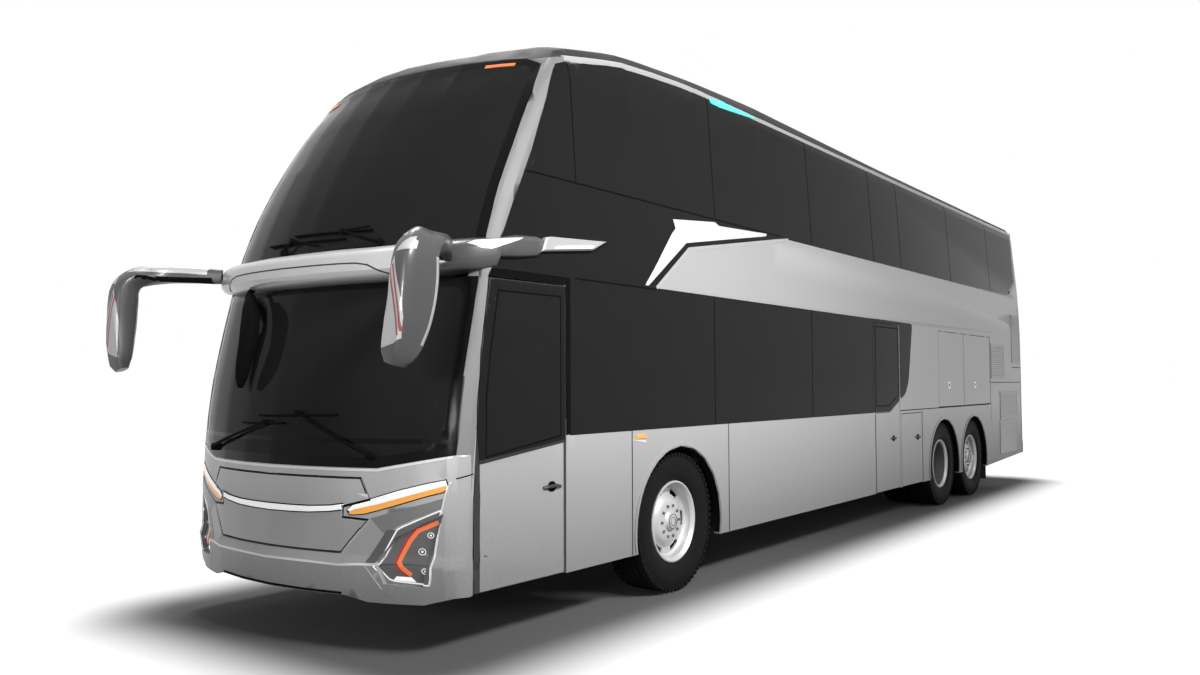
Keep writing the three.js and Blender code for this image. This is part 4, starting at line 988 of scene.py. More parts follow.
def blocks(kind, finish, **values):
    """Mesh of a ring or row of blocks, from the named inputs of its Geometry Nodes tree."""
    name, inputs, arrange = REPEATS[kind]
    holder = linked("holder", bpy.data.meshes.new("holder"))
    modifier = holder.modifiers.new("tree", "NODES")
    modifier.node_group = bpy.data.node_groups.get(name) or block_tree(name, inputs, arrange)
    values["Material"] = MATERIALS[finish]
    for item in modifier.node_group.interface.items_tree:
        if item.in_out == "INPUT" and item.name in values:
            modifier[item.identifier] = values[item.name]
    return result_of(holder)


# ---------------------------------------------------------------- wheels
def lathe(profile, sides, closed=False):
    """Body of revolution about the y axis through the origin, from radius and y."""
    bm = bmesh.new()
    rings = []
    for turn in turns(sides):
        rings.append([bm.verts.new((r * math.cos(turn), y, r * math.sin(turn))) for r, y in profile])
    count = len(profile)
    for k in range(sides):
        here, there = rings[k], rings[(k + 1) % sides]
        for j in range(count if closed else count - 1):
            a, b = j, (j + 1) % count
            bm.faces.new((here[a], here[b], there[b], there[a]))
    bmesh.ops.remove_doubles(bm, verts=bm.verts, dist=1e-6)
    bmesh.ops.recalc_face_normals(bm, faces=bm.faces)
    return bm


def moved(bm, matrix):
    bmesh.ops.transform(bm, matrix=matrix, verts=bm.verts)
    return bm


def tyre_profile():
    """Half section of a tyre from bead to tread centre, mirrored: radius and y."""
    half = TYRE_WIDTH / 2
    bead = 0.291
    side = [(bead, 0.70 * half), (bead + 0.012, 0.80 * half), (0.330, 0.90 * half), (0.352, 0.955 * half),
            (0.356, 0.965 * half), (0.400, half), (0.440, 0.992 * half), (0.468, 0.97 * half),
            (0.472, 0.955 * half), (TYRE_R - 0.030, 0.94 * half), (TYRE_R - 0.012, 0.90 * half),
            (TYRE_R - 0.003, 0.84 * half)]
    tread = []
    for groove in (0.52, 0.18):
        tread += [(TYRE_R, (groove + 0.05) * half), (TYRE_R - 0.012, (groove + 0.035) * half),
                  (TYRE_R - 0.012, (groove - 0.035) * half), (TYRE_R, (groove - 0.05) * half)]
    outer = side + tread
    return outer + [(r, -y) for r, y in reversed(outer)]


# Name, body, tyre nodes, rim node, whether it is a deep-dished twin pair
WHEELS = (
    ("front", "front_wheel", ("front_tyre",), "front_rim", False),
    ("drive", "drive_wheels", ("drive_tyre_outer", "drive_tyre_inner"), "drive_rims", True),
    ("tag", "tag_wheel", ("tag_tyre",), "tag_rim", False),
)
TREAD_BLOCK, NUT, NUT_R = (0.026, 0.030, 0.024), (0.020, 0.016, 0.020), 0.118
# Slots of a rim: their radii, and half the angle that each takes
SLOT_R, SLOT_TURN = (0.206, 0.246), 14
# How far out a hub's face is, and how far in the nuts and the hub of a twin pair sit
HUB_FACE, TWIN_SINK, TWIN_HUB_SINK = 0.1175, 0.150, 0.193


def outward(way, place):
    """Moves a wheel made facing +y to its place, turned to face outwards."""
    turn = Matrix.Identity(4) if way > 0 else Matrix.Rotation(math.pi, 4, "Z")
    return Matrix.Translation(place) @ turn


def block_ring(count, radius, offset, size, finish):
    """Ring of blocks round the y axis."""
    made = blocks("ring", finish, Count=count, Radius=radius, Offset=offset, Size=size)
    made.transform(Matrix.Rotation(-math.pi / 2, 4, "X"))
    return made


def rim_lip(edge):
    """Rolled outer edge of a rim: radius and y, from its inside round to its back."""
    return [(0.282, edge - 0.004), (0.294, edge + 0.006), (0.303, edge + 0.004), (0.306, edge - 0.004),
            (0.302, edge - 0.009), (0.290, edge - 0.012), (0.290, -edge), (0.276, -edge)]


def slotted_rim(slots):
    """Single rim: rolled lip, channel with slots, domed centre. Made facing +y."""
    edge = TYRE_WIDTH * 0.42
    inner, outer = SLOT_R
    profile = [(0, 0.118), (0.050, 0.118), (0.066, 0.110), (0.074, 0.096), (0.080, 0.092), (0.140, 0.090),
               (0.160, 0.084), (0.182, 0.070), (0.196, 0.054), (inner, 0.050), (outer, 0.050), (0.258, 0.058),
               (0.266, 0.072), (0.270, edge - 0.020), *rim_lip(edge), (0.262, 0.034), (0.200, 0.034),
               (0.180, 0.052), (0.150, 0.062), (0.060, 0.060), (0, 0.060)]
    rim = linked("rim", as_mesh(lathe(profile, 96)))
    cutter = bmesh.new()
    for turn in turns(slots):
        arc = [turn + math.radians(a) for a in np.linspace(-SLOT_TURN, SLOT_TURN, 9)]
        outline = [(outer, a) for a in arc] + [(inner, a) for a in reversed(arc)]
        loft(cutter, [[(r * math.cos(a), y, r * math.sin(a)) for r, a in outline] for y in (-0.03, 0.10)])
    tool = linked("slots", as_mesh(closed(cutter)))
    cut = rim.modifiers.new("slots", "BOOLEAN")
    cut.operation, cut.object, cut.solver = "DIFFERENCE", tool, "EXACT"
    return result_of(rim, tool)


def dished_rim():
    """Outer rim of a twin pair, deep dished, and its lip, facing +y, from the middle of the pair."""
    half = TWIN_SPACING / 2
    lip = half + TYRE_WIDTH * 0.42
    dish = [(0, half - 0.075), (0.070, half - 0.075), (0.084, half - 0.085), (0.090, -0.040), (0.150, -0.066),
            (0.200, -0.070), (0.226, -0.052), (0.246, 0.0), (0.262, half + 0.01), (0.268, lip - 0.024),
            (0.272, lip - 0.024), (0.272, half), (0.262, -0.110), (0.12, -0.110), (0.12, -half), (0.0, -half)]
    edge = [(0.268, lip - 0.026), (0.270, lip - 0.018), *rim_lip(lip), (0.276, lip - 0.026)]
    return as_mesh(lathe(dish, 96)), as_mesh(lathe(edge, 96, True))


class COACH_OT_wheels(bpy.types.Operator):
    """Tyres with tread, slotted and dished rims, nuts and hubs"""
    bl_idname = "coach.wheels"
    bl_label = "Wheels"

    def execute(self, context):
        wheel = context.scene.coach_wheels
        half = TYRE_WIDTH / 2
        shoulders = [block_ring(wheel.tread_blocks, TYRE_R - 0.016, way * half * 0.90, TREAD_BLOCK, "tyre")
                     for way in (1, -1)]
        nuts = block_ring(wheel.nuts, NUT_R, 0.091, NUT, "cast")
        slotted, (dish, lip) = slotted_rim(wheel.slots), dished_rim()
        for side, way in SIDES:
            for name, body, tyres, rim, deep in WHEELS:
                rides = f"{body}_{side}"
                for node in tyres:
                    bm = lathe(tyre_profile(), 128)
                    for mesh in shoulders:
                        add_mesh(bm, mesh, Matrix.Identity(4))
                    moved(bm, outward(way, middle(f"{node}_{side}")))
                    new_piece(f"{node}_{side}_rubber", bm, "tyre", rides, replaces=(f"{node}_{side}",))
                tyre = middle(f"{tyres[0]}_{side}")
                inset = TWIN_SPACING / 2 if deep else 0
                place = outward(way, Vector((tyre.x, way * (abs(tyre.y) - inset), tyre.z)))
                bm = bmesh.new()
                add_mesh(bm, lip if deep else slotted, place)
                new_piece(f"{rim}_{side}_alloy", bm, "alloy", rides, replaces=(f"{rim}_{side}",))
                # Painted shade: the dish of a twin pair is dark inside its bright lip, and a single rim has a
                # black ring behind its slots.
                if deep:
                    bm = bmesh.new()
                    add_mesh(bm, dish, place)
                else:
                    back = lathe([(0.190, 0.026), (0.262, 0.026), (0.262, 0.020), (0.190, 0.020)], 64, True)
                    bm = moved(back, place)
                new_piece(f"{name}_wheel_dish_shade_{side}", bm, "cast" if deep else "gap", rides, "black_plastic")
                bm = bmesh.new()
                add_mesh(bm, nuts, place @ Matrix.Translation((0, -TWIN_SINK if deep else 0.0, 0)))
                face = HUB_FACE + (TWIN_SPACING / 2 - TWIN_HUB_SINK if deep else 0)
                for r in (0.030, 0.052):
                    ring = [(r, face), (r + 0.005, face), (r + 0.005, face + 0.0025), (r, face + 0.0025)]
                    add_part(bm, moved(lathe(ring, 40, True), place))
                new_piece(f"{name}_wheel_nuts_{side}", bm, "cast", rides, "polished")
        return {"FINISHED"}


# ---------------------------------------------------------------- glazing
UPPER_SEAMS = (1.27, -0.58, -2.46, -4.09, -4.97, -6.86, -8.77)
LOWER_SEAMS = (-0.53, -2.40)
# Joints that take the place of the doors on the side without them
BLIND_SEAMS = (1.36, -4.01)
QUARTER = [(-4.805, 1.36), (-4.99, 1.43), (-5.10, 1.58), (-5.255, 2.25), (-4.805, 2.25)]
BELT_Z, DECK_Z, UPPER_BELT_Z = 1.23, 2.25, 2.89
GLASS_TOP = ((-10.2, 3.90), (-0.3, 3.90), (0.63, 3.84), (1.3, 3.715))
UPPER_SCREEN = ((1.231, 2.36), (1.228, 2.49), (1.205, 3.05), (1.165, 3.45), (1.11, 3.69), (1.0, 3.74))
LOWER_SCREEN = ((0.8, 1.08), (1.24, 1.16), (1.24, 1.95), (1.235, 2.2))


def flank(side):
    return Skin(side, f"side_wall_{side}", f"side_glass_{side}")


def glass_top(x):
    return float(np.interp(x, *zip(*GLASS_TOP)))


def fillets(outline, radius, steps=6):
    """Cells between the sharp corners of an outline and rounded ones."""
    arcs = rounded(outline, radius, steps)
    made = []
    for k, point in enumerate(outline):
        arc = arcs[k * (steps + 1):(k + 1) * (steps + 1)]
        made += [[point, a, b] for a, b in zip(arc, arc[1:])]
    return made


class COACH_OT_glazing(bpy.types.Operator):
    """Joints between the panes, printed borders and the quarter panel"""
    bl_idname = "coach.glazing"
    bl_label = "Glazing"

    def execute(self, context):
        joint = context.scene.coach_glazing.joint_width
        foot = UPPER_BELT_Z - 0.004
        for side, way in SIDES:
            seams = [[(x, UPPER_BELT_Z), (x, glass_top(x) - 0.01)] for x in UPPER_SEAMS]
            seams += [[(x, BELT_Z), (x, DECK_Z)] for x in LOWER_SEAMS]
            seams += [[(1.77, foot), (-1.80, foot)], [(1.30 if way > 0 else 2.02, DECK_Z), (0.31, DECK_Z)]]
            if way < 0:
                seams += [[(x, BELT_Z), (x, DECK_Z)] for x in BLIND_SEAMS]
            lay(f"window_joints_{side}", flank(side), bands(seams, joint), "gap", 0.0008)
        lay("quarter_panel_left", flank("left"), cells(rounded(QUARTER, 0.06)), "glass", 0.002)
        for name, half, wide, corner in (("upper_windscreen", UPPER_SCREEN, 0.055, 0.22),
                                         ("lower_windscreen", LOWER_SCREEN, 0.060, 0.16)):
            outline = whole(half)
            made = border(outline, wide) + fillets(shrunk(outline, wide), corner)
            lay(f"{name}_border", Skin("front", name), made, "frit", 0.0006)
        return {"FINISHED"}


# ---------------------------------------------------------------- graphics
FLASH = ((0.068, 2.803), (-0.573, 2.863), (-0.639, 2.840), (-1.501, 2.879), (-1.480, 2.855), (-0.115, 2.642),
         (0.430, 2.271), (0.471, 2.272), (0.329, 2.419), (0.090, 2.689), (0.034, 2.737))
FLASH_EDGE = ((0.322, 2.261), (-0.156, 2.599), (-1.642, 2.832), (-1.933, 2.874))
LIGHT_BAR = ((-0.62, 3.93), (-0.66, 3.87), (-0.80, 3.865), (-1.45, 3.905), (-1.45, 3.925), (-0.95, 3.93),
             (-0.85, 3.95))


class COACH_OT_graphics(bpy.types.Operator):
    """The flash on each side and the light bars under the roof"""
    bl_idname = "coach.graphics"
    bl_label = "Graphics"

    def execute(self, context):
        for side, _ in SIDES:
            lay_rows(flank(side), (
                ("side_flash", cells(FLASH), "flash", 0.0022),
                ("side_flash_edge", band(FLASH_EDGE, 0.026), "pale", 0.0026),
                ("roof_light_bar", cells(LIGHT_BAR), "teal", 0.004),
            ), side=side)
        return {"FINISHED"}


# ---------------------------------------------------------------- flanks
ARCHES = (("front", 0.0), ("drive", DRIVE_AXLE.x - FRONT_AXLE.x), ("tag", TAG_AXLE.x - FRONT_AXLE.x))
ARCH_Z, ARCH_R, ARCH_FOOT = 0.49, 0.60, 0.375
# Grilles of the engine bay: rear and front edge, foot, head
GRILLES = ((-10.36, -9.86, 1.85, 2.61), (-9.39, -8.66, 1.61, 2.12), (-10.11, -9.13, 0.99, 1.42),
           (-10.06, -9.09, 0.49, 0.97))


def arch_path(x, radius, low=ARCH_FOOT, steps=28):
    """Places along an arc over an axle, from one foot to the other."""
    foot = math.asin((low - ARCH_Z) / radius)
    angles = [foot + (math.pi - 2 * foot) * k / steps for k in range(steps + 1)]
    return [(x + radius * math.cos(t), ARCH_Z + radius * math.sin(t)) for t in angles]


SEAMS = [*([(x, 0.365), (x, BELT_Z)] for x in (0.65, -0.745)), [(-8.62, 1.235), (-4.80, 1.235)],
         [(-10.36, 1.55), (-8.62, 1.55)], [(-10.36, 1.78), (-9.88, 1.78)], [(-8.62, 1.235), (-8.62, 2.24)],
         [(-8.62, 1.0), (-8.62, 1.235)], [(-10.395, 0.45), (-10.395, 3.85)], [(-5.56, 0.365), (-5.56, 1.235)]]
MARKERS = (
    ("amber_marker", [rectangle(0.475, 0.60, 1.172, 1.200)], "amber", 0.006),
    ("marker_trim", cells([(0.60, 1.165), (0.645, 1.165), (0.475, 1.140), (0.475, 1.155)]), "chrome", 0.003),
    ("rear_marker", [rectangle(-8.56, -8.49, 1.195, 1.217)], "lens", 0.004),
    ("low_red_marker", [rectangle(-10.36, -10.30, 0.66, 0.70)], "red", 0.004),
    ("top_red_marker", [rectangle(-10.38, -10.27, 3.872, 3.893)], "red", 0.004),
)
# Wheel wells: inner wall by axle, radii of the ring that closes it and of the liner, and their foot
WELL_Y, WELL_R = {"front": 0.47, "drive": 0.56, "tag": 0.56}, (0.30, 0.64)
LINER_R, WELL_FOOT = (0.613, 0.618), 0.40
# Mudflap behind the last axle, seen from ahead
MUDFLAP, FLAP_BEHIND, FLAP_THICKNESS = rectangle(0.96, 1.265, 0.17, 0.62), 0.66, 0.008
SLAT_PITCH = 0.032
LOCKS, LOCK_Z = (("front", -6.64), ("rear", -7.82)), 1.52


def arch_band(x, outer, inner, low):
    """Outline between two arcs round an axle."""
    return [*arch_path(x, outer, low), *arch_path(x, inner, low)[::-1]]


def slats(edges, y, way):
    """Sloping slats that fill an opening in a side."""
    x0, x1, z0, z1 = edges
    start = ((x0 + x1) / 2 + FRONT_AXLE.x, y, z0 + 0.01 + SLAT_PITCH / 2)
    return blocks("row", "grille", Count=int((z1 - z0 - 0.02) / SLAT_PITCH), Start=start, Step=(0, 0, SLAT_PITCH),
                  Size=(x1 - x0 - 0.03, 0.006, SLAT_PITCH * 0.80), Tilt=(way * 0.35, 0, 0))


class COACH_OT_flanks(bpy.types.Operator):
    """Seams, wheel arches and wells, mudflaps, engine grilles, locks, handles and marker lamps of the sides"""
    bl_idname = "coach.flanks"
    bl_label = "Flanks"

    def execute(self, context):
        for side, way in SIDES:
            skin = flank(side)
            lay(f"panel_seams_{side}", skin, bands(SEAMS, context.scene.coach_trim.seam_width), "gap", 0.0008,
                slot="paint")
            for name, x in ARCHES:
                self.arch(name, x, skin, side, way)
            flap_x = ahead(ARCHES[-1][1] - FLAP_BEHIND)
            flap = across(MUDFLAP, way)
            bm = closed(prism(bmesh.new(), flap, "front", flap_x, flap_x + FLAP_THICKNESS))
            new_piece(f"rear_mudflap_{side}", bm, "seal")
            for k, edges in enumerate(GRILLES, 1):
                outline = rectangle(*edges)
                lay(f"grille_{k}_back_{side}", skin, [outline], "grille", 0.0012)
                lay(f"grille_{k}_frame_{side}", skin, border(outline, 0.014), "grille", 0.007)
                bm = bmesh.new()
                add_mesh(bm, slats(edges, way * (HALF_WIDTH + 0.0045), way), Matrix.Identity(4), keep=False)
                new_piece(f"grille_{k}_slats_{side}", bm, "grille")
            lay_rows(skin, MARKERS, side=side)
            for place, x in LOCKS:
                leaf = f"luggage_hatch_{place}_{side}"
                lay_rows(Skin(side, leaf), (
                    (f"{leaf}_lock_ring", band(circle((x, LOCK_Z), 0.036), 0.014, closed=True), "chrome", 0.006),
                    (f"{leaf}_lock", [circle((x, LOCK_Z), 0.022, 16)], "black", 0.004),
                ), f"luggage_hatch_leaf_{place}_{side}")
            handle(f"service_hatch_{side}", side, way, -5.39, 0.907, f"service_hatch_leaf_{side}")
        return {"FINISHED"}

    def arch(self, name, x, skin, side, way):
        """Lip round a wheel arch, the dark edge inside it, and the wheel well."""
        lay(f"{name}_arch_lip_{side}", skin, band(arch_path(x, ARCH_R + 0.014), 0.024), "coachwork", 0.007)
        reveal = arch_band(x, ARCH_R - 0.007, ARCH_R - 0.010, ARCH_FOOT)
        bm = prism(bmesh.new(), reveal, side, way * (HALF_WIDTH - 0.060), way * (HALF_WIDTH - 0.002))
        new_piece(f"{name}_arch_reveal_{side}", closed(bm), "gap")
        inner, (near, far) = WELL_Y[name], WELL_R
        bm = prism(bmesh.new(), arch_band(x, far, near, WELL_FOOT), side, way * inner, way * (inner + 0.004))
        if name != "front":
            liner = arch_band(x, *LINER_R[::-1], WELL_FOOT)
            prism(bm, liner, side, way * inner, way * (HALF_WIDTH - 0.054))
        new_piece(f"{name}_wheel_well_{side}", closed(bm), "gap")


def handle(node, side, way, x, z, body, long=0.14):
    """Dished plate with a grip across it, on a door or hatch."""
    half_plate = [(-0.060, 0), (-0.018, 0.032), (0.018, 0.032)]
    plate = [(x + u, z + v) for u, v in [*half_plate, *((-u, -v) for u, v in half_plate)]]
    lay(f"{node}_handle_dish", Skin(side, node), [plate], "gap", 0.0045, body)
    y = way * (HALF_WIDTH + 0.002)
    path = [(ahead(x + long * share), y + way * out, z + rise) for share, out, rise in
            ((-1 / 2, 0, -0.004), (-1 / 5, 0.016, 0.004), (1 / 5, 0.016, 0.004), (1 / 2, 0, -0.004))]
    new_piece(f"{node}_handle", closed(tube(bmesh.new(), curve(path, 0.015), 0.013, 10, 0.8)), "black", body)


# ---------------------------------------------------------------- doors
DOOR_LOWER = [(1.432, 0.372), (2.195, 0.372), (2.195, 1.100), (1.432, 1.188)]
DOOR_PANE = [(1.408, 1.190), (2.200, 1.104), (2.214, 1.300), (2.188, 1.600), (2.146, 1.900), (2.106, 2.100),
             (2.088, 2.186), (1.408, 2.186)]
DOOR_FRAME = [(1.455, 1.235), (2.150, 1.140), (2.140, 1.48), (2.105, 1.76), (2.035, 2.120), (1.455, 2.120)]
MID_LOWER = [(-4.03, 0.372), (-4.03, 1.222), (-4.46, 1.222), (-4.77, 1.345), (-4.77, 0.372)]
MID_PANE = [(-4.018, 1.236), (-4.46, 1.236), (-4.776, 1.360), (-4.776, 2.204), (-4.018, 2.204)]
MID_FRAME = [(-4.05, 1.30), (-4.44, 1.30), (-4.75, 1.42), (-4.75, 2.17), (-4.05, 2.17)]


class COACH_OT_doors(bpy.types.Operator):
    """Painted lower panels, panes, frame and waist lines, handles and surrounds of the two doors"""
    bl_idname = "coach.doors"
    bl_label = "Doors"

    def execute(self, context):
        lay_rows(Skin("left", "front_door", "front_door_glass"), (
            ("front_door_lower_panel", cells(DOOR_LOWER), "coachwork", 0.003),
            ("front_door_pane", cells(DOOR_PANE), "glass", 0.0012),
            ("front_door_frame_line", band(DOOR_FRAME, 0.010, closed=True), "gap", 0.0026),
            ("front_door_waist", band([(1.412, 1.200), (2.205, 1.112)], 0.016), "seal", 0.0036),
        ), "front_door_leaf")
        handle("front_door", "left", 1, 1.55, 0.92, "front_door_leaf", 0.17)
        lay_rows(Skin("left", "mid_door", "mid_door_glass"), (
            ("mid_door_lower_panel", cells(MID_LOWER), "coachwork", 0.003),
            ("mid_door_pane", cells(MID_PANE), "glass", 0.0012),
            ("mid_door_frame_line", band(MID_FRAME, 0.009, closed=True), "gap", 0.0026),
        ), "mid_door_leaf")
        handle("mid_door", "left", 1, -4.56, 0.93, "mid_door_leaf", 0.13)
        around_front = [rectangle(1.352, 1.3995, 1.235, 2.250),
                        [(1.3995, 2.1975), (2.104, 2.1975), (2.078, 2.250), (1.3995, 2.250)]]
        around_mid = [rectangle(-4.008, -3.962, 1.235, 2.252), rectangle(-4.83, -4.008, 2.212, 2.252)]
        lay_rows(flank("left"), (
            ("front_door_surround", around_front, "gap", 0.0012, "paint"),
            ("mid_door_surround", around_mid, "glass", 0.0012, "paint"),
        ))
        return {"FINISHED"}


# ---------------------------------------------------------------- nose
# Flat outlines of the left half of the nose, as y and z
DAY_LIGHT = ((0.624, 0.836), (0.660, 0.865), (0.819, 0.917), (0.950, 0.958), (1.087, 0.995), (1.196, 1.019),
             (1.202, 0.991), (1.090, 0.958), (0.951, 0.916), (0.820, 0.877), (0.675, 0.843), (0.640, 0.830))
INDICATOR = ((0.635, 0.815), (0.640, 0.830), (0.675, 0.843), (0.820, 0.877), (0.951, 0.916), (1.090, 0.958),
             (1.202, 0.991), (1.200, 0.971), (1.186, 0.954), (1.091, 0.927), (0.952, 0.882), (0.821, 0.843),
             (0.739, 0.820), (0.657, 0.811))
LAMP_BED = ((0.812, 0.522), (0.829, 0.536), (0.939, 0.735), (0.967, 0.752), (1.177, 0.850), (1.151, 0.656),
            (1.126, 0.461), (1.116, 0.427), (0.909, 0.442), (0.880, 0.452))
CHEVRON = ((1.146, 0.780), (1.039, 0.729), (0.995, 0.671), (0.951, 0.585), (0.941, 0.551), (0.964, 0.518),
           (1.010, 0.480))
# Bright strip across the nose, given the glowing lamp finish though it is no lamp, a painted glow: y, head, foot
SMILE = ((0, 0.843, 0.807), (0.19, 0.843, 0.809), (0.35, 0.846, 0.814), (0.50, 0.855, 0.826),
         (0.545, 0.862, 0.832), (0.60, 0.870, 0.840))
# Outlines of the painted shade beside the lamp and of the shaded chamfer below it
MASK_SHADE = ((0.770, 0.800), (1.195, 0.945), (1.180, 0.860), (0.960, 0.765), (0.930, 0.748), (0.870, 0.700))
CHAMFER = ((0.752, 0.539), (0.878, 0.732), (0.932, 0.735), (0.822, 0.536))
HALF_CREASE = ((0, 0.523), (0.30, 0.526), (0.59, 0.522), (0.70, 0.530), (0.82, 0.535))
# Edges of the service flap low and high, and the faces under the folds of flap and mask, painted darker as shade
FLAP_SIDE, FLAP_TOP = [(0.586, 0.592), (0.7115, 0.737)], [(0.747, 0.934), (0.700, 1.020)]
FLAP_CHIN = [(0.35, 0.810), (0.50, 0.822), (0.58, 0.832), (0.59, 0.782), (0.745, 0.778), (0.584, 0.594)]
MASK_CHIN = [(0.615, 0.592), (0.782, 0.792), (0.866, 0.698), (0.748, 0.543), (0.62, 0.538)]
# Middle and radius of each lamp in the headlamp
LAMPS = (((1.105, 0.705), 0.013), ((1.062, 0.612), 0.016), ((1.085, 0.505), 0.013))


class COACH_OT_nose(bpy.types.Operator):
    """Lamps, trims and lines of the nose, marker lamps and the dashboard's edge behind the screen"""
    bl_idname = "coach.nose"
    bl_label = "Nose"

    def execute(self, context):
        mask = Skin("front", "front_mask")
        upper = Skin("front", "upper_windscreen")
        head, foot = ([(row[0], row[k]) for row in SMILE] for k in (1, 2))
        edges = [[*FLAP_TOP, *across(FLAP_TOP[::-1], -1)], [*FLAP_SIDE[::-1], *across(FLAP_SIDE, -1)]]
        lay_rows(Skin("front", "front_flap"), (
            # The bright strip glows like a lamp though it is none: a painted glow.
            ("smile_strip", cells([*mirrored(head), *mirrored(foot)[::-1]]), "drl", 0.0035),
            *((f"smile_strip_{name}_line", band([(y, z + rise) for y, z in mirrored(line)], 0.007), "gap", 0.004)
              for name, line, rise in (("top", head, 0.0035), ("foot", foot, -0.0035))),
            ("flap_edge", bands(edges, 0.010), "gap", 0.0012),
            ("front_flap_underside", cells(whole(FLAP_CHIN)), "underside", 0.0006),
        ), "front_flap_leaf")
        lay_rows(mask, (
            # Painted shade under the flap's foot, and a painted highlight along the bumper's crease.
            ("bumper_underside", [[(-0.582, 0.570), (0.582, 0.570), (0.60, 0.532), (-0.60, 0.532)]], "underside",
             0.0008),
            ("bumper_lip_line", band([(-0.585, 0.355), (0.585, 0.355)], 0.014), "gap", 0.002),
            ("bumper_highlight", band(mirrored(HALF_CREASE), 0.014), "flash", 0.0022),
            ("screen_foot_trim", band([(-1.225, 1.150), (-0.80, 1.068), (0.80, 1.068), (1.225, 1.150)], 0.014),
             "flash", 0.002),
        ))
        edge = [rectangle(-1.20, 1.20, 1.222, 1.250)]
        lay("dashboard_edge", Skin("front", "lower_windscreen"), edge, "frit", 0.0008)
        for side, way in SIDES:
            lamp = Skin("front", f"headlamp_{side}", "front_mask", "front_flap")
            # Painted shade under the fold of the mask.
            lay_rows(mask, (("mask_underside", cells(MASK_CHIN), "underside", 0.0008),), way=way, side=side)
            corner = Skin(side, "front_mask", f"side_wall_{side}")
            lay(f"corner_seam_{side}", corner, band([(2.243, 1.051), (2.338, 1.028)], 0.007), "gap", 0.0008,
                slot="paint")
            # Painted shade on the mask beside the lamp, and a dark band laid flat for the shade of the chamfer by
            # it.
            lay_rows(mask, (("mask_shade", cells(MASK_SHADE), "shade", 0.0016),
                            ("lamp_chamfer", cells(CHAMFER), "dark_paint", 0.0020)), way=way, side=side)
            lay_rows(lamp, (*self.lamp_rows(), *self.bulb_rows()), way=way, side=side)
            # Painted highlights down the bumper's folded edge and along its top.
            lay_rows(mask, (("bumper_fold", band([(0.752, 0.530), (0.846, 0.392)], 0.007), "pale", 0.0018),
                            ("bumper_fold_top", band([(0.752, 0.539), (0.830, 0.536)], 0.007), "pale", 0.0022)),
                     way=way, side=side)
            lay_rows(upper, (("roof_marker", [rectangle(0.752, 0.950, 3.674, 3.696)], "orange", 0.005),),
                     way=way, side=side)
        return {"FINISHED"}

    def lamp_rows(self):
        outline = [*DAY_LIGHT[:7], *INDICATOR[7:], INDICATOR[0]]
        side_highlight = [(1.206, 0.990), (1.180, 0.850), (1.154, 0.656), (1.129, 0.461), (1.118, 0.425)]
        foot_trim = [(0.905, 0.447), (0.925, 0.470), (1.010, 0.468), (1.035, 0.440)]
        shadow = [(y - 0.014, z - 0.004) for y, z in CHEVRON]
        return (
            ("lamp_outline", band(outline, 0.012, closed=True), "gap", 0.0016),
            ("day_light", cells(DAY_LIGHT), "drl", 0.0040),
            ("indicator", cells(INDICATOR), "amber", 0.0034),
            ("headlamp_bed", cells(shrunk(LAMP_BED, 0.006)), "lamp_bed", 0.0006),
            ("headlamp_rim", band(LAMP_BED, 0.007, closed=True), "chrome", 0.0030),
            ("headlamp_fold", band([(0.822, 0.530), (0.945, 0.540), (1.128, 0.535)], 0.006), "black", 0.0020,
             "lamp"),
            ("headlamp_chevron_shadow", band(shadow, 0.030), "red", 0.0018),
            ("headlamp_chevron", band(CHEVRON, 0.024), "orange", 0.0040),
            # A painted highlight down the outer edge of the headlamp.
            ("headlamp_side_trim", band(side_highlight, 0.008), "flash", 0.0030, "polished"),
            ("headlamp_foot_trim", cells(foot_trim), "chrome", 0.0030),
        )

    def bulb_rows(self):
        for k, (place, radius) in enumerate(LAMPS, 1):
            yield f"headlamp_{k}_lens", [circle(place, radius, 20)], "black", 0.0030, "lamp"
            yield f"headlamp_{k}_bulb", [circle(place, radius * 0.45, 16)], "drl", 0.0042
            ring = band(circle(place, radius + 0.002, 20), 0.004, closed=True)
            yield f"headlamp_{k}_ring", ring, "chrome", 0.0050


# ---------------------------------------------------------------- visor
# Stations of the visor: ahead of the corner by y, behind it by x; foot, head, reach
VISOR = (("y", 0.00, 2.172, 2.400, 0.150), ("y", 0.60, 2.178, 2.405, 0.148), ("y", 0.90, 2.192, 2.420, 0.128),
         ("y", 1.08, 2.205, 2.430, 0.105), ("y", 1.20, 2.225, 2.438, 0.080), ("y", 1.27, 2.262, 2.440, 0.056),
         ("x", 2.02, 2.316, 2.446, 0.046), ("x", 1.90, 2.326, 2.468, 0.042), ("x", 1.72, 2.352, 2.480, 0.034),
         ("x", 1.64, 2.400, 2.470, 0.012))
VISOR_FACE = ((0, 0), (0.03, 0.40), (0.08, 0.62), (0.14, 0.77), (0.21, 0.89), (0.28, 0.97), (0.45, 1.0),
              (0.67, 1.0), (0.74, 0.96), (0.79, 0.90), (0.88, 0.66), (0.95, 0.42), (1, 0))
BLADE = ((1.668, 2.388), (1.132, 2.449), (0.975, 2.526), (1.574, 2.491), (1.622, 2.482))
BLADE_STRIP = ((1.56, 2.413), (1.150, 2.462), (1.120, 2.482), (1.53, 2.436))
DIAMOND = ((2.206, 2.392), (2.150, 2.415), (1.848, 2.452), (1.985, 2.402), (2.094, 2.361), (2.146, 2.362))


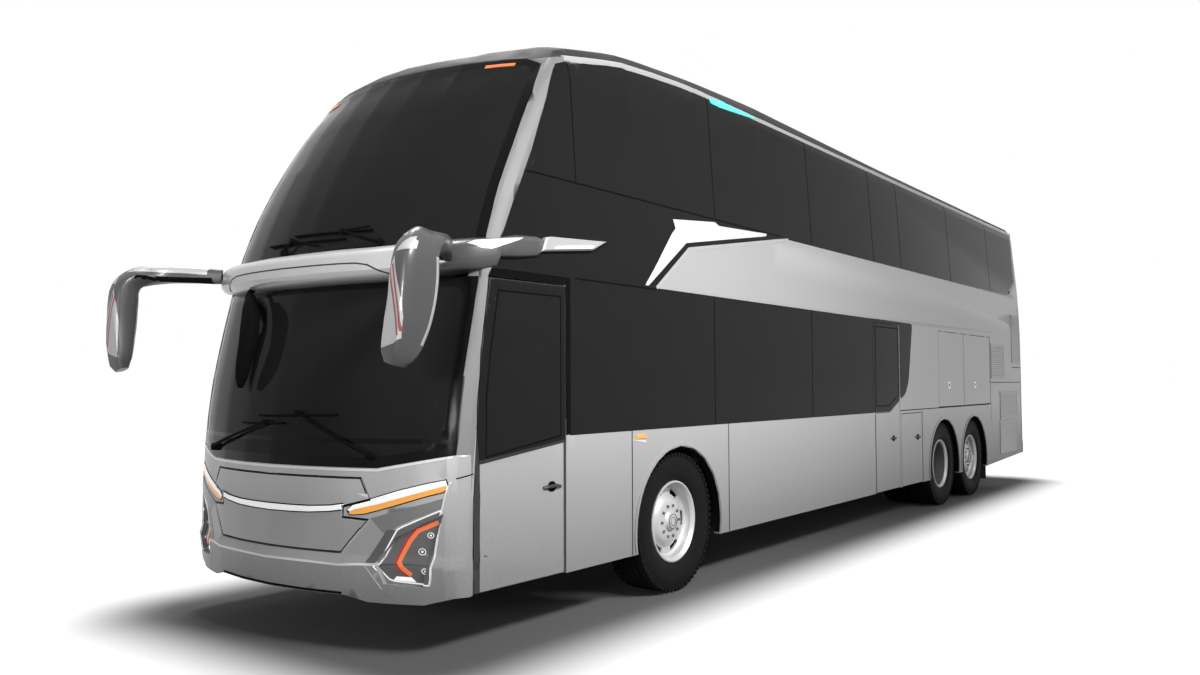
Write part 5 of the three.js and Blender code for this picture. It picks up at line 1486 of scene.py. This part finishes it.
class Visor:
    """Rings of the visor along the smooth plan of the nose, from the middle to the end of its side."""

    def __init__(self):
        front = smooth_front()
        self.level = float(front.nose_at(2.28))
        plan = front.plan + front.plan_move
        self.places = np.c_[self.level - plan[:, 0], plan[:, 1]]
        along = np.gradient(self.places, axis=0)
        self.normals = np.c_[along[:, 1], -along[:, 0]] / np.linalg.norm(along, axis=1)[:, None]
        self.at = [self.station(kind, value) for kind, value, *_ in VISOR]

    def station(self, kind, value):
        if kind == "y":
            return int(np.argmax(self.places[:, 1] >= value))
        return int(np.argmax((self.places[:, 0] <= ahead(value)) & (self.places[:, 1] > 0.5)))

    def ring(self, k, way):
        foot, head, reach = (float(np.interp(k, self.at, [row[n] for row in VISOR])) for n in (2, 3, 4))
        normal = Vector((*self.normals[k], 0))
        made = []
        for t, share in (*VISOR_FACE, (1, -0.25), (0, -0.25)):
            z = foot + (head - foot) * t
            lean = (float(smooth_front().nose_at(z)) - self.level) * max(normal.x, 0)
            out = share * (max(reach, 0.06) if share < 0 else reach)
            place = Vector((*self.places[k], z)) + normal * out
            made.append((place.x + lean, way * place.y, z))
        return made


# The mirror hung under the visor: its arm, and its own body as for a pod
KERB_ARM = ((2.43, -0.50, 2.225), (2.52, -0.46, 2.17), (2.575, -0.41, 2.10), (2.600, -0.36, 2.02))
KERB_MIRROR = ((2.560, -0.400, 2.135, 0.030, 0.026), (2.600, -0.345, 2.070, 0.052, 0.036),
               (2.635, -0.290, 1.960, 0.068, 0.042), (2.660, -0.275, 1.830, 0.060, 0.042),
               (2.672, -0.300, 1.700, 0.046, 0.038), (2.672, -0.325, 1.600, 0.034, 0.030),
               (2.668, -0.340, 1.548, 0.016, 0.016))


class COACH_OT_visor(bpy.types.Operator):
    """Visor across the nose, dark cheeks and pale blades along the sides, and the kerb mirror below it"""
    bl_idname = "coach.visor"
    bl_label = "Visor"

    def execute(self, context):
        visor = Visor()
        corner, end = visor.station("y", 1.02), visor.at[-1]
        right = [visor.ring(k, -1) for k in range(corner, 0, -2)]
        left = [visor.ring(k, 1) for k in range(0, corner + 1, 2)]
        new_piece("visor_panel", closed(loft(bmesh.new(), right + left)), "pale", replaces=("visor",))
        line = [(0.50, 2.289), (0.60, 2.286), (0.676, 2.273), (0.750, 2.235), (0.835, 2.205)]
        lay("visor_line", Skin("front", "visor"), band([*across(line[::-1], -1), *line], 0.009), "seal", 0.0012)
        for side, way in SIDES:
            rings = [visor.ring(k, way) for k in range(corner, end + 1)]
            new_piece(f"visor_cheek_{side}_panel", closed(loft(bmesh.new(), rings)), "dark_paint")
            lay(f"visor_flash_{side}", Skin(side, f"visor_cheek_{side}"), cells(DIAMOND), "flash")
            start, stop = way * (HALF_WIDTH - 0.015), way * (HALF_WIDTH + 0.030)
            bm = closed(prism(bmesh.new(), BLADE, side, start, stop, 0.010))
            new_piece(f"visor_blade_{side}_panel", bm, "pale")
            # White strip on the blade, given the glowing lamp finish though it is no lamp: real white with a
            # painted glow.
            lay(f"visor_blade_glow_strip_{side}", Skin(side, f"visor_blade_{side}"), cells(BLADE_STRIP), "drl",
                slot="paint")
        arm = tube(bmesh.new(), curve([(ahead(x), y, z) for x, y, z in KERB_ARM], 0.03), 0.020, 10)
        new_piece("kerb_mirror_arm", closed(arm), "gap")
        new_piece("kerb_mirror_panel", closed(pod(KERB_MIRROR, 1)), "gap")
        return {"FINISHED"}


# ---------------------------------------------------------------- mirrors and wipers
# Middle of a mirror along its length: x ahead, y, z, half across, half deep
MIRROR = ((2.300, 1.120, 2.335, 0.052, 0.042), (2.450, 1.250, 2.342, 0.056, 0.050),
          (2.600, 1.345, 2.336, 0.058, 0.066), (2.740, 1.392, 2.308, 0.066, 0.098),
          (2.806, 1.410, 2.228, 0.076, 0.128), (2.820, 1.410, 2.120, 0.080, 0.135),
          (2.830, 1.403, 2.000, 0.080, 0.132), (2.848, 1.388, 1.880, 0.080, 0.124),
          (2.866, 1.367, 1.775, 0.076, 0.108), (2.880, 1.350, 1.710, 0.064, 0.088),
          (2.886, 1.336, 1.668, 0.042, 0.056))
LEAF = ((1.392, 2.225), (1.352, 2.120), (1.330, 1.990), (1.318, 1.900), (1.305, 1.800), (1.308, 1.752),
        (1.405, 1.775), (1.444, 1.800), (1.460, 1.907), (1.458, 1.984), (1.440, 2.060), (1.415, 2.139))
MIRROR_FRONT, MIRROR_CREASE = 2.958, math.radians(40)
MIRROR_CAP = ((1.395, 2.252), (1.420, 2.300), (1.470, 2.345), (1.500, 2.345), (1.480, 2.262))
ARM_TOP = ((1.150, 2.345), (1.240, 2.352), (1.340, 2.350), (1.395, 2.340), (1.395, 2.400), (1.150, 2.400))
ARM_FOOT = ((1.130, 2.325), (1.330, 2.322), (1.330, 2.265), (1.130, 2.265))
MIRROR_EDGE = ((2.718, 2.235), (2.722, 2.120), (2.735, 1.990), (2.760, 1.870), (2.795, 1.765))
MIRROR_GLASS = ((1.345, 2.190), (1.340, 1.900), (1.325, 1.770), (1.400, 1.760), (1.450, 1.880), (1.470, 2.000),
                (1.475, 2.190))
STRIPES = (((1.366, 2.170), (1.388, 2.075), (1.406, 1.990), (1.422, 1.900), (1.430, 1.815)),
           ((1.388, 2.185), (1.410, 2.090), (1.428, 2.000), (1.442, 1.915), (1.448, 1.835)))


def pod(path, way, power=3.4, sides=32):
    """Rounded body along a path of x, y, z, half across, half deep; its deep axis faces ahead."""
    points = curve([(ahead(x), way * y, z, a, d) for x, y, z, a, d in path], 0.03)
    rings = []
    for k, point in enumerate(points):
        along = (points[min(k + 1, len(points) - 1)] - points[max(k - 1, 0)]).to_3d().normalized()
        deep = Vector((1, 0, 0))
        deep = (deep - along * deep.dot(along)).normalized()
        over = along.cross(deep)
        ring = []
        for turn in turns(sides):
            c, s = (math.copysign(abs(f(turn)) ** (2 / power), f(turn)) for f in (math.cos, math.sin))
            place = point.to_3d() + over * (c * point[3]) + deep * (s * point[4])
            place.x = min(place.x, ahead(MIRROR_FRONT))
            ring.append(place)
        rings.append(ring)
    return loft(bmesh.new(), rings)


def slimmed(path, share):
    """Path of a pod made less deep from behind, so that its front face stays."""
    made = []
    for k, (x, y, z, a, d) in enumerate(path):
        less = d * share * min(max(k - 1, 0) / 2, 1.0)
        made.append((x + less, y, z, a, d - less))
    return made


class COACH_OT_mirrors(bpy.types.Operator):
    """Hanging mirrors with their inlays, stripes and glass"""
    bl_idname = "coach.mirrors"
    bl_label = "Mirrors"

    def execute(self, context):
        for side, way in SIDES:
            path, back = (MIRROR, 0.0) if way > 0 else (slimmed(MIRROR, 0.36), 0.088)
            new_piece(f"mirror_{side}_panel", closed(pod(path, way)), "dark_paint", replaces=(f"mirror_{side}",),
                      crease=MIRROR_CREASE)
            ahead_of, beside, behind = (Skin(face, f"mirror_{side}") for face in ("front", side, "rear"))
            lay_rows(ahead_of, (("mirror_leaf", cells(LEAF), "pale", 0.0012),), way=way, side=side)
            for k, stripe in enumerate(STRIPES, 1):
                made = band(across(stripe, way), 0.011)
                lay(f"mirror_stripe_{k}_{side}", ahead_of, made, "accent", 0.0022)
            lay_rows(ahead_of, (("mirror_cap", cells(MIRROR_CAP), "pale", 0.0012),
                                ("mirror_arm_top", cells(ARM_TOP), "pale", 0.0012)), way=way, side=side)
            edge = [(x + back, z) for x, z in MIRROR_EDGE]
            lay(f"mirror_edge_{side}", beside, band(edge, 0.026), "pale", 0.0012)
            lay_rows(ahead_of, (("mirror_arm_foot", cells(ARM_FOOT), "gap", 0.0012),), way=way, side=side)
            glass = cells(rounded(MIRROR_GLASS, 0.03))
            lay_rows(behind, (("mirror_glass", glass, "frit", 0.0012),), way=way, side=side)
        return {"FINISHED"}


# Each wiper: screen, pivot, elbow that carries the blade, both ends of the blade, ends of a second arm
WIPERS = {
    "lower_wiper_left": ("lower", (0.765, 1.152), (0.235, 1.390), (-0.150, 1.372), (0.520, 1.384), None),
    "lower_wiper_right": ("lower", (-0.790, 1.150), (-0.060, 1.332), (-0.335, 1.324), (0.105, 1.330), None),
    "upper_wiper_left": ("upper", (0.600, 2.425), (0.300, 2.512), (-0.180, 2.528), (0.520, 2.512),
                         ((0.300, 2.520), (0.490, 2.535))),
    "upper_wiper_right": ("upper", (-0.250, 2.420), (-0.170, 2.490), (-0.480, 2.486), (0.320, 2.470),
                          ((-0.170, 2.500), (0.10, 2.440))),
}
WIPER_RADII = [0.013, 0.012, 0.011, 0.009, 0.008, 0.008]


def on_screen(tree, y, z, proud):
    """Place on a screen straight behind y and z, moved out along the surface's normal."""
    place, normal, *_ = tree.ray_cast(Vector((20.0, y, z)), Vector((-1, 0, 0)))
    if place is None:
        raise RuntimeError(f"no screen behind {y:.3f}, {z:.3f}")
    return place + normal * proud


def rod(bm, screen, first, last, proud, radius, sides, count):
    """Rod that follows a screen from one flat place to another."""
    places = [Vector(first).lerp(Vector(last), t / count) for t in range(count + 1)]
    tube(bm, [on_screen(screen, *place, proud) for place in places], radius, sides)


def post(bm, screen, place, low, high, radius, sides):
    """Short rod square to a screen."""
    tube(bm, [on_screen(screen, *place, proud) for proud in (low, high)], radius, sides)


class COACH_OT_wipers(bpy.types.Operator):
    """Two wipers on each windscreen"""
    bl_idname = "coach.wipers"
    bl_label = "Wipers"

    def execute(self, context):
        for name, (deck, pivot, elbow, start, end, second) in WIPERS.items():
            screen, bm = BVHTree.FromPolygons(*gathered([shown(f"{deck}_windscreen")])), bmesh.new()
            post(bm, screen, pivot, 0.0, 0.034, 0.024, 16)
            rod(bm, screen, pivot, elbow, 0.030, WIPER_RADII, 8, 5)
            rod(bm, screen, start, end, 0.016, 0.007, 6, 8)
            rod(bm, screen, start, end, 0.005, 0.005, 4, 8)
            if second:
                rod(bm, screen, *second, 0.022, 0.006, 6, 5)
            post(bm, screen, elbow, 0.010, 0.042, 0.017, 12)
            new_piece(name, closed(bm), "gap")
        return {"FINISHED"}


# ---------------------------------------------------------------- tail and roof
TAIL_LAMP = ((0.985, 0.93), (1.225, 0.93), (1.250, 1.18), (1.225, 1.60), (1.150, 1.72), (1.010, 1.72),
             (1.030, 1.30))
RAIL_FOOT = ((-10.36, 3.897), (-0.5, 3.896), (-0.2, 3.888), (0.2, 3.865), (0.6, 3.834), (0.8, 3.801),
             (1.0, 3.763), (1.24, 3.716), (1.29, 3.705))
LOUVRE_Z = [0.98 + 0.155 * k for k in range(4)]
RAIL_SECTION = ((1.192, -0.004), (1.2005, 0.004), (1.2025, 0.020), (1.197, 0.040), (1.182, 0.052), (1.150, 0.045),
                (1.150, 0))
ROOF_HATCHES, ROOF_JOINTS = (-5.0, -8.6), (-1.6, -3.4, -6.8, -9.8)


def soft_rectangle(u0, u1, v0, v1, radius):
    return cells(rounded(rectangle(u0, u1, v0, v1), radius))


class COACH_OT_tail(bpy.types.Operator):
    """Lamps, louvres, blank plate, latch and trims of the rear"""
    bl_idname = "coach.tail"
    bl_label = "Tail"

    def execute(self, context):
        wall, door = Skin("rear", "rear_wall"), Skin("rear", "engine_door")
        leaf = "engine_door_leaf"
        for side, way in SIDES:
            lay_rows(wall, (
                ("tail_lamp_bed", cells(TAIL_LAMP), "frit", 0.004, "black_plastic"),
                ("stop_lamp", soft_rectangle(1.045, 1.215, 1.32, 1.66, 0.03), "red", 0.010),
                ("tail_indicator", soft_rectangle(1.045, 1.215, 1.17, 1.29, 0.03), "amber", 0.010),
                ("reversing_lamp", soft_rectangle(1.035, 1.210, 1.05, 1.14, 0.03), "lens", 0.010),
                ("tail_reflector", soft_rectangle(1.020, 1.200, 0.96, 1.03, 0.02), "red", 0.010),
                ("rear_corner_marker", cells(rectangle(0.98, 1.10, 3.80, 3.83)), "red", 0.005),
            ), way=way, side=side)
            lay_rows(door, ((f"louvre_{k}_back", soft_rectangle(0.30, 0.82, z, z + 0.11, 0.03), "gap", 0.0012)
                            for k, z in enumerate(LOUVRE_Z, 1)), leaf, way, side)
        bm = bmesh.new()
        for way in (1, -1):
            for z in LOUVRE_Z:
                slats = blocks("row", "grille", Count=3, Start=(REAR_X + 0.022, way * 0.56, z + 0.025),
                               Step=(0, 0, 0.031), Size=(0.006, 0.50, 0.026), Tilt=(0, -0.5, 0))
                add_mesh(bm, slats, Matrix.Identity(4), keep=False)
        new_piece("engine_door_slats", bm, "grille", leaf)
        lay_rows(door, (
            ("plate_recess", soft_rectangle(-0.29, 0.29, 0.70, 0.85, 0.02), "black", 0.004),
            ("blank_plate", soft_rectangle(-0.26, 0.26, 0.72, 0.83, 0.01), "flash", 0.007),
            ("engine_door_latch", soft_rectangle(-0.09, 0.09, 1.61, 1.665, 0.02), "black", 0.012),
        ), leaf)
        edge = rounded(rectangle(-0.90, 0.90, 2.90, 3.70), 0.10)
        lay("rear_window_border", Skin("rear", "rear_window"), border(edge, 0.06), "frit", 0.0008)
        lay_rows(wall, (
            ("high_stop_lamp", cells(rectangle(-0.35, 0.35, 3.785, 3.815)), "red", 0.006),
            ("rear_panel_seams", bands(([(-1.22, 2.30), (1.22, 2.30)], [(-1.2, 2.78), (1.2, 2.78)]), 0.008),
             "gap", 0.0008, "paint"),
            ("bumper_strip", cells(rectangle(-0.9, 0.9, 0.53, 0.56)), "black", 0.0008),
        ))
        return {"FINISHED"}


class COACH_OT_roof(bpy.types.Operator):
    """Bright rails above the side glass, roof hatches and roof joints"""
    bl_idname = "coach.roof"
    bl_label = "Roof"

    def execute(self, context):
        for side, way in SIDES:
            rings = []
            for x in np.linspace(RAIL_FOOT[0][0], RAIL_FOOT[-1][0], 118):
                foot = float(np.interp(x, *zip(*RAIL_FOOT)))
                rings.append([(ahead(x), way * y, foot + rise) for y, rise in RAIL_SECTION])
            new_piece(f"roof_rail_{side}", closed(loft(bmesh.new(), rings)), "pale")
        top = Skin("top", "roof")
        for k, x in enumerate(ROOF_HATCHES, 1):
            outline = rounded(rectangle(x - 0.40, x + 0.40, -0.34, 0.34), 0.09)
            lay(f"roof_hatch_{k}_seal", top, cells(outline), "seal", 0.006, sunk=0.004)
            lay(f"roof_hatch_{k}", top, cells(shrunk(outline, 0.03)), "shade", 0.018)
            lay(f"roof_hatch_{k}_dish", top, cells(shrunk(outline, 0.10)), "roof_painted_shade", 0.021)
        joints = bands(([(x, -1.05), (x, 1.05)] for x in ROOF_JOINTS), 0.012)
        lay("roof_joints", top, joints, "gap", 0.0006, sunk=0.002)
        return {"FINISHED"}


# ---------------------------------------------------------------- cabin
SEAT_WIDTH, DRIVER_WIDTH, SEAT_PITCH, SEAT_DEPTH = 0.44, 0.49, 0.86, 0.43
SEAT_ROWS = (-0.965, -0.515, 0.515, 0.965)
RAIL_ROWS, PLINTH = (-0.74, 0.74), (0.002, 0.03)


def cushion(bm, centre, size, lean=0.0, power=4.0, crown=0.06, cuts=6):
    """Stuffed pad: a rounded block whose faces crown and whose sides pull in between the corners."""
    made = bmesh.new()
    bmesh.ops.create_cube(made, size=2.0)
    bmesh.ops.subdivide_edges(made, edges=made.edges[:], cuts=cuts, use_grid_fill=True)
    turn = Matrix.Rotation(lean, 3, "Y")
    thin = min(range(3), key=lambda k: size[k])
    for vert in made.verts:
        p = vert.co / sum(abs(c) ** power for c in vert.co) ** (1 / power)
        pull = [1 - crown * (1 - p[(k + 1) % 3] ** 2) * (1 - p[(k + 2) % 3] ** 2) for k in range(3)]
        pull[thin] = 1.0
        vert.co = turn @ Vector([p[k] * pull[k] * size[k] / 2 for k in range(3)]) + Vector(centre)
    add_part(bm, made)


def seat_pads(bm, x, y, floor, width):
    """Cushion, back with side rolls and headrest of one seat; x is its back edge at the floor."""
    lean = -0.235
    cushion(bm, (x + 0.255, y, floor + 0.395), (0.37, width - 0.01, 0.105), -0.03)
    for z, thick, high in ((0.60, 0.105, 0.28), (0.80, 0.095, 0.20)):
        cushion(bm, (x + 0.045 - (z - 0.44) * 0.24, y, floor + z), (thick, width - 0.10, high), lean)
    for way in (1, -1):
        roll = y + way * (width / 2 - 0.035)
        cushion(bm, (x + 0.050 - 0.06, roll, floor + 0.68), (0.105, 0.058, 0.46), lean, cuts=4)
    cushion(bm, (x - 0.088, y, floor + 0.965), (0.085, width - 0.14, 0.15), lean)


def seat_shell(bm, x, y, floor, width):
    """Shell behind the back, pan under the cushion, armrests and leg of one seat."""
    def box(x0, x1, half, z0, z1, lean=0.0):
        outline = [(x0 - lean, z1), (x0, z0), (x1, z0), (x1 - lean, z1)]
        bar(bm, [(x + u, floor + v) for u, v in outline], y - half, y + half)
    box(-0.055, -0.030, width / 2 - 0.03, 0.40, 1.03, 0.085)
    box(0.07, 0.42, width / 2 - 0.03, 0.320, 0.345)
    armrest = [(0.02, 0.60), (0.02, 0.63), (0.30, 0.635), (0.33, 0.615), (0.30, 0.60)]
    for way in (1, -1):
        bar(bm, [(x + u, floor + v) for u, v in armrest], y + way * (width / 2 - 0.028),
            y + way * (width / 2 - 0.002))
    box(0.005, 0.055, 0.12, 0.03, 0.325)


def bar(bm, outline, y0, y1):
    """An outline in x and z carried between two places across the coach."""
    loft(bm, [[(x, y, z) for x, z in outline] for y in sorted((y0, y1))])


def seating(node, seats, plinths):
    """The padded cushions and the frames that stand for a CAD node of seats."""
    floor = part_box(node)[0].z
    pads, shells = bmesh.new(), bmesh.new()
    for x, y, width in seats:
        seat_pads(pads, x, y, floor, width)
        seat_shell(shells, x, y, floor, width)
    for outline, y, half in plinths:
        bar(shells, [(x, floor + z) for x, z in outline], y - half, y + half)
    return pads, closed(shells)


class COACH_OT_cabin(bpy.types.Operator):
    """Seats with padded cushions on both decks, and the driver's seat"""
    bl_idname = "coach.cabin"
    bl_label = "Cabin"

    def execute(self, context):
        for node in ("lower_seats", "upper_seats"):
            low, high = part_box(node)
            seats, x = [], high.x - SEAT_DEPTH
            while x - 0.15 > low.x - 0.01:
                seats += [(x, y, SEAT_WIDTH) for y in SEAT_ROWS]
                x -= SEAT_PITCH
            rail = rectangle(low.x + 0.13, high.x - 0.37, *PLINTH)
            self.place(node, "frames", seats, [(rail, y, 0.03) for y in RAIL_ROWS])
        low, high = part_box("driver_seat")
        x, y = high.x - SEAT_DEPTH, (low.y + high.y) / 2
        base = [(x + 0.06, 0.002), (x + 0.34, 0.002), (x + 0.28, 0.28), (x + 0.12, 0.28)]
        self.place("driver_seat", "frame", [(x, y, DRIVER_WIDTH)], [(base, y, 0.14)])
        return {"FINISHED"}

    def place(self, node, kind, seats, plinths):
        pads, shells = seating(node, seats, plinths)
        pads = new_piece(f"{node}_pads", pads, "cloth", replaces=(node,), crease=SEAT_CREASE)
        new_piece(f"{node}_{kind}", shells, "black", crease=SEAT_CREASE)


# ---------------------------------------------------------------- stage
# Camera: the way it looks, its place and its roll
FORWARD = Vector((-0.8068, -0.5892, 0.0454)).normalized()
CAMERA_PLACE = (ahead(6.417), 5.236, 1.570)
CAMERA_ROLL = math.radians(-0.228)


def white_to_camera(material, strength):
    """Adds a glow that only cameras, mirrors and glass see, so that the surface reads as white."""
    nodes = Nodes(material.node_tree)
    shader, output = (material.node_tree.nodes[name] for name in ("Principled BSDF", "Material Output"))
    power = nodes.maths("MULTIPLY", nodes.seen_directly(), strength)
    glow = nodes.add("ShaderNodeEmission", {"Color": (1, 1, 1, 1), "Strength": power})
    both = nodes.add("ShaderNodeAddShader", {0: shader.outputs[0], 1: glow.outputs[0]})
    nodes.feed(output.inputs["Surface"], both.outputs[0])


def floor_glow_and_painted_shadow(material, half_length):
    """Glow of the floor: none close beside the coach and full further out, so that a dark band of the floor's own
    colour rings the footprint, partly the real shadow and partly painted shadow.
    """
    nodes = Nodes(material.node_tree)
    place = nodes.add("ShaderNodeSeparateXYZ", {"Vector": nodes.add("ShaderNodeTexCoord").outputs["Object"]})
    beyond = []
    for axis, half in (("X", half_length - 0.6), ("Y", HALF_WIDTH - 0.3)):
        distance = nodes.maths("ABSOLUTE", place.outputs[axis])
        beyond.append(nodes.maths("MAXIMUM", nodes.maths("SUBTRACT", distance, half), 0.0))
    away = nodes.maths("SQRT", nodes.maths("ADD", *(nodes.maths("POWER", part, 2.0) for part in beyond)))
    return nodes.span(away, 0.30, 1.15, 0.0, 0.97)


class COACH_OT_stage(bpy.types.Operator):
    """Floor, soft light and camera"""
    bl_idname = "coach.stage"
    bl_label = "Stage"

    def execute(self, context):
        scene = context.scene
        stage, world = scene.coach_stage, bpy.data.worlds.new("studio")
        # A dark floor that glows white to the camera away from the coach; the dark band left round the coach is
        # partly painted shadow.
        floor_material = Finish("floor_with_painted_shadow", (0.12, 0.12, 0.12), Roughness=0.9).grain(2.0, 0.01, 0.02).material
        white_to_camera(floor_material, floor_glow_and_painted_shadow(floor_material, abs(REAR_X)))
        bpy.ops.mesh.primitive_plane_add(size=400, location=(0, 0, -0.002))
        floor = context.object
        floor.name = "studio_floor"
        floor.data.materials.append(floor_material)

        scene.world = world
        world.use_nodes = True
        nodes = Nodes(world.node_tree)
        background = world.node_tree.nodes["Background"]
        strengths = {"Value": nodes.seen_directly(), "To Min": stage.world_light, "To Max": 1.0}
        strength = nodes.add("ShaderNodeMapRange", strengths)
        nodes.feed(background.inputs["Strength"], strength.outputs["Result"])
        nodes.feed(background.inputs["Color"], (1, 1, 1, 1))

        # Name, place, target, size, spread in degrees, power; high up, to leave the floor under the coach dark
        for name, place, target, size, spread, power in (
            ("side_lamp", (ahead(1.5), 9.8, 8.6), (ahead(0.5), 1.3, 2.0), (7.0, 1.6), 50, stage.side_light),
            ("side_lamp_rear", (ahead(-7.0), 9.8, 8.6), (ahead(-7.5), 1.3, 2.0), (7.0, 1.6), 50,
             stage.side_light * 0.10),
            ("front_lamp", (ahead(12.5), 5.0, 3.1), (ahead(2.4), 0.2, 3.1), (3.0, 1.2), 44, stage.front_light),
            ("top_lamp", (ahead(-2.5), -4.5, 12.5), (ahead(-2.5), 0.5, 0), (6.0, 3.5), 110, stage.top_light),
            ("far_lamp", (ahead(-8.0), -9.8, 8.6), (ahead(-6.0), -1.3, 2.0), (9.0, 1.6), 50, stage.fill_light),
            ("rear_lamp", (REAR_X - 9.0, -5.0, 3.1), (REAR_X, 0, 3.1), (3.0, 1.2), 44, stage.fill_light * 0.3),
        ):
            lamp = bpy.data.lights.new(name, "AREA")
            lamp.shape, lamp.size, lamp.size_y, lamp.energy = "RECTANGLE", *size, power
            lamp.spread = math.radians(spread)
            holder = linked(name, lamp)
            holder.location = place
            holder.visible_glossy = name != "far_lamp"
            holder.rotation_euler = (Vector(target) - Vector(place)).to_track_quat("-Z", "Y").to_euler()

        lens = bpy.data.cameras.new("camera")
        lens.lens, lens.sensor_width = stage.lens, 36.0
        lens.clip_end = 500
        camera = linked("camera", lens)
        turn = FORWARD.to_track_quat("-Z", "Y").to_matrix().to_4x4() @ Matrix.Rotation(CAMERA_ROLL, 4, "Z")
        camera.matrix_world = Matrix.Translation(CAMERA_PLACE) @ turn
        scene.camera = camera
        scene.view_settings.view_transform = "Standard"
        return {"FINISHED"}


# ---------------------------------------------------------------- panel, registration, main
STEPS = (COACH_OT_panels, COACH_OT_glazing, COACH_OT_graphics, COACH_OT_flanks, COACH_OT_doors, COACH_OT_nose,
         COACH_OT_visor, COACH_OT_mirrors, COACH_OT_wipers, COACH_OT_tail, COACH_OT_roof,
         COACH_OT_cabin, COACH_OT_wheels, COACH_OT_stage)


class COACH_PT_sidebar(bpy.types.Panel):
    """Settings and steps of the coach"""
    bl_idname = "COACH_PT_sidebar"
    bl_label = "Coach"
    bl_space_type = "VIEW_3D"
    bl_region_type = "UI"
    bl_category = "Coach"

    def draw(self, context):
        for group in ("coach_paint", "coach_glazing", "coach_wheels", "coach_trim", "coach_stage"):
            box = self.layout.box()
            owner = getattr(context.scene, group)
            for prop in owner.__annotations__:
                box.prop(owner, prop)
        for step in STEPS:
            self.layout.operator(step.bl_idname)


SETTINGS = {
    "coach_paint": CoachPaintSettings,
    "coach_glazing": CoachGlazingSettings,
    "coach_wheels": CoachWheelSettings,
    "coach_trim": CoachTrimSettings,
    "coach_stage": CoachStageSettings,
}


def register():
    for name, group in SETTINGS.items():
        bpy.utils.register_class(group)
        setattr(bpy.types.Scene, name, PointerProperty(type=group))
    for step in STEPS:
        bpy.utils.register_class(step)
    bpy.utils.register_class(COACH_PT_sidebar)


def unregister():
    bpy.utils.unregister_class(COACH_PT_sidebar)
    for step in reversed(STEPS):
        bpy.utils.unregister_class(step)
    for name, group in SETTINGS.items():
        delattr(bpy.types.Scene, name)
        bpy.utils.unregister_class(group)


def main():
    register()
    coach_materials()
    for step in STEPS:
        group, call = step.bl_idname.split(".")
        getattr(getattr(bpy.ops, group), call)()


if __name__ == "__main__":
    main()
